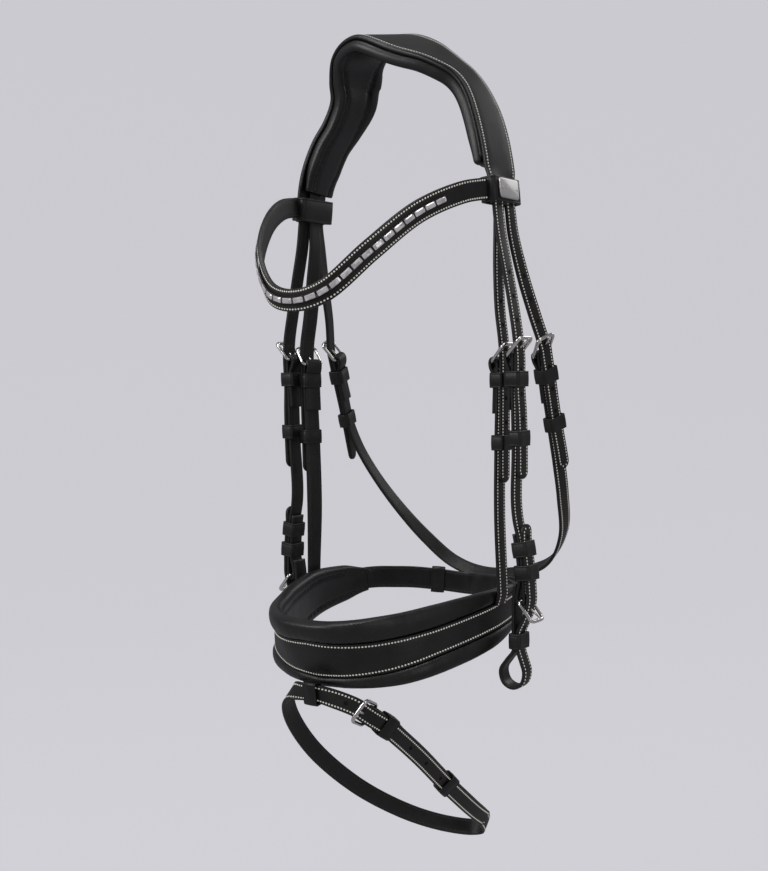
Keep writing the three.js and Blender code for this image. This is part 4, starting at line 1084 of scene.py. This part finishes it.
place(keeper(Solid(), (2, -107, -457.2), (0, -0.1, 0.75), (1, 0.02, 0), STRAP_WIDTH + 0.8, 5),
      "flash_loop_tube", "noseband", "flash_loop")
middle_buckle("flash", FLASH_HEEL, FLASH_ACROSS, flash_reach, "flash", BUCKLE_HALF_WIDTH)

# ---- Floor, light and camera ----
keeper_low, keeper_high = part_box("cheek_keeper_running_left")
middle = Vector((0.0, -0.0169, (keeper_low.z + keeper_high.z) / 2))
floor_z = CAD_BOX[0][2] - 0.12


def bowl():
    """A round pale floor that turns up into a wall all round, so every view has the same backdrop."""
    profile = [(0.0, 0.0), (0.8, 0.0), (1.6, 0.0)]
    profile += [(1.6 + 1.6 * math.sin(a), 1.6 - 1.6 * math.cos(a)) for a in np.linspace(0.1, math.pi / 2, 14)]
    profile += [(3.2, 3.4)]
    turn = np.arange(72) * 2 * math.pi / 72
    verts, faces = [(0, 0, floor_z)], []
    for r, h in profile[1:]:
        verts += [(r * math.cos(a), r * math.sin(a), floor_z + h) for a in turn]
    faces += [(0, 1 + k, 1 + (k + 1) % 72) for k in range(72)]
    for ring in range(len(profile) - 2):
        a, b = 1 + ring * 72, 1 + (ring + 1) * 72
        faces += [(a + k, b + k, b + (k + 1) % 72, a + (k + 1) % 72) for k in range(72)]
    mesh = bpy.data.meshes.new("studio")
    mesh.from_pydata(verts, [], faces)
    mesh.polygons.foreach_set("use_smooth", [True] * len(faces))
    studio = bpy.data.objects.new("studio", mesh)
    bpy.context.scene.collection.objects.link(studio)
    material, tree, shader, spot = new_material("studio_look")
    speck = texture(tree, spot, "ShaderNodeTexNoise", 3.0, Detail=2.0).outputs["Fac"]
    shade = blend_colours(tree, speck, (0.15, 0.149, 0.156), (0.155, 0.154, 0.161))
    tree.links.new(shade, shader.inputs["Base Color"])
    settle(shader, Roughness=0.95, Specular_IOR_Level=0.0, Emission_Color=(0.60, 0.592, 0.63, 1))
    rays = tree.nodes.new("ShaderNodeLightPath")
    tree.links.new(ramp(tree, rays.outputs["Is Camera Ray"], 0.24, 0.93), shader.inputs["Emission Strength"])
    mesh.materials.append(material)


bowl()


def area(name, spot, target, size, power, color=(1, 1, 1)):
    light = bpy.data.lights.new(name, "AREA")
    light.shape = "RECTANGLE"
    light.size, light.size_y = size
    light.energy = power
    light.color = color
    lamp = bpy.data.objects.new(name, light)
    lamp.location = spot
    lamp.rotation_euler = (Vector(target) - Vector(spot)).to_track_quat("-Z", "Y").to_euler()
    bpy.context.scene.collection.objects.link(lamp)


area("key_light", (-0.9, -1.7, 0.9), middle, (0.9, 0.9), 14)
area("fill_light", (1.9, -0.6, 0.3), middle, (0.5, 1.4), 2.6)
area("back_light", (0.4, 1.9, 0.8), middle, (1.2, 0.8), 5)
area("top_light", (0.0, -0.3, 1.5), middle, (0.9, 0.9), 11)

world = bpy.data.worlds.new("studio_world")
world.use_nodes = True
settle(world.node_tree.nodes["Background"], Color=(0.86, 0.87, 0.9, 1), Strength=0.18)
bpy.context.scene.world = world

camera_data = bpy.data.cameras.new("camera")
camera_data.sensor_width = 36.0
camera_data.lens = 51.15
camera = bpy.data.objects.new("camera", camera_data)
bpy.context.scene.collection.objects.link(camera)
AZIMUTH, ELEVATION, ROLL, DISTANCE = math.radians(36.08), math.radians(3.09), math.radians(-0.51), 0.9272
level = math.cos(ELEVATION)
back = Vector((math.sin(AZIMUTH) * level, -math.cos(AZIMUTH) * level, math.sin(ELEVATION)))
camera.location = middle + back * DISTANCE
camera.rotation_euler = (-back).to_track_quat("-Z", "Y").to_euler()
camera.rotation_euler.rotate_axis("Z", ROLL)
bpy.context.scene.camera = camera
bpy.context.scene.view_settings.view_transform = "Standard"
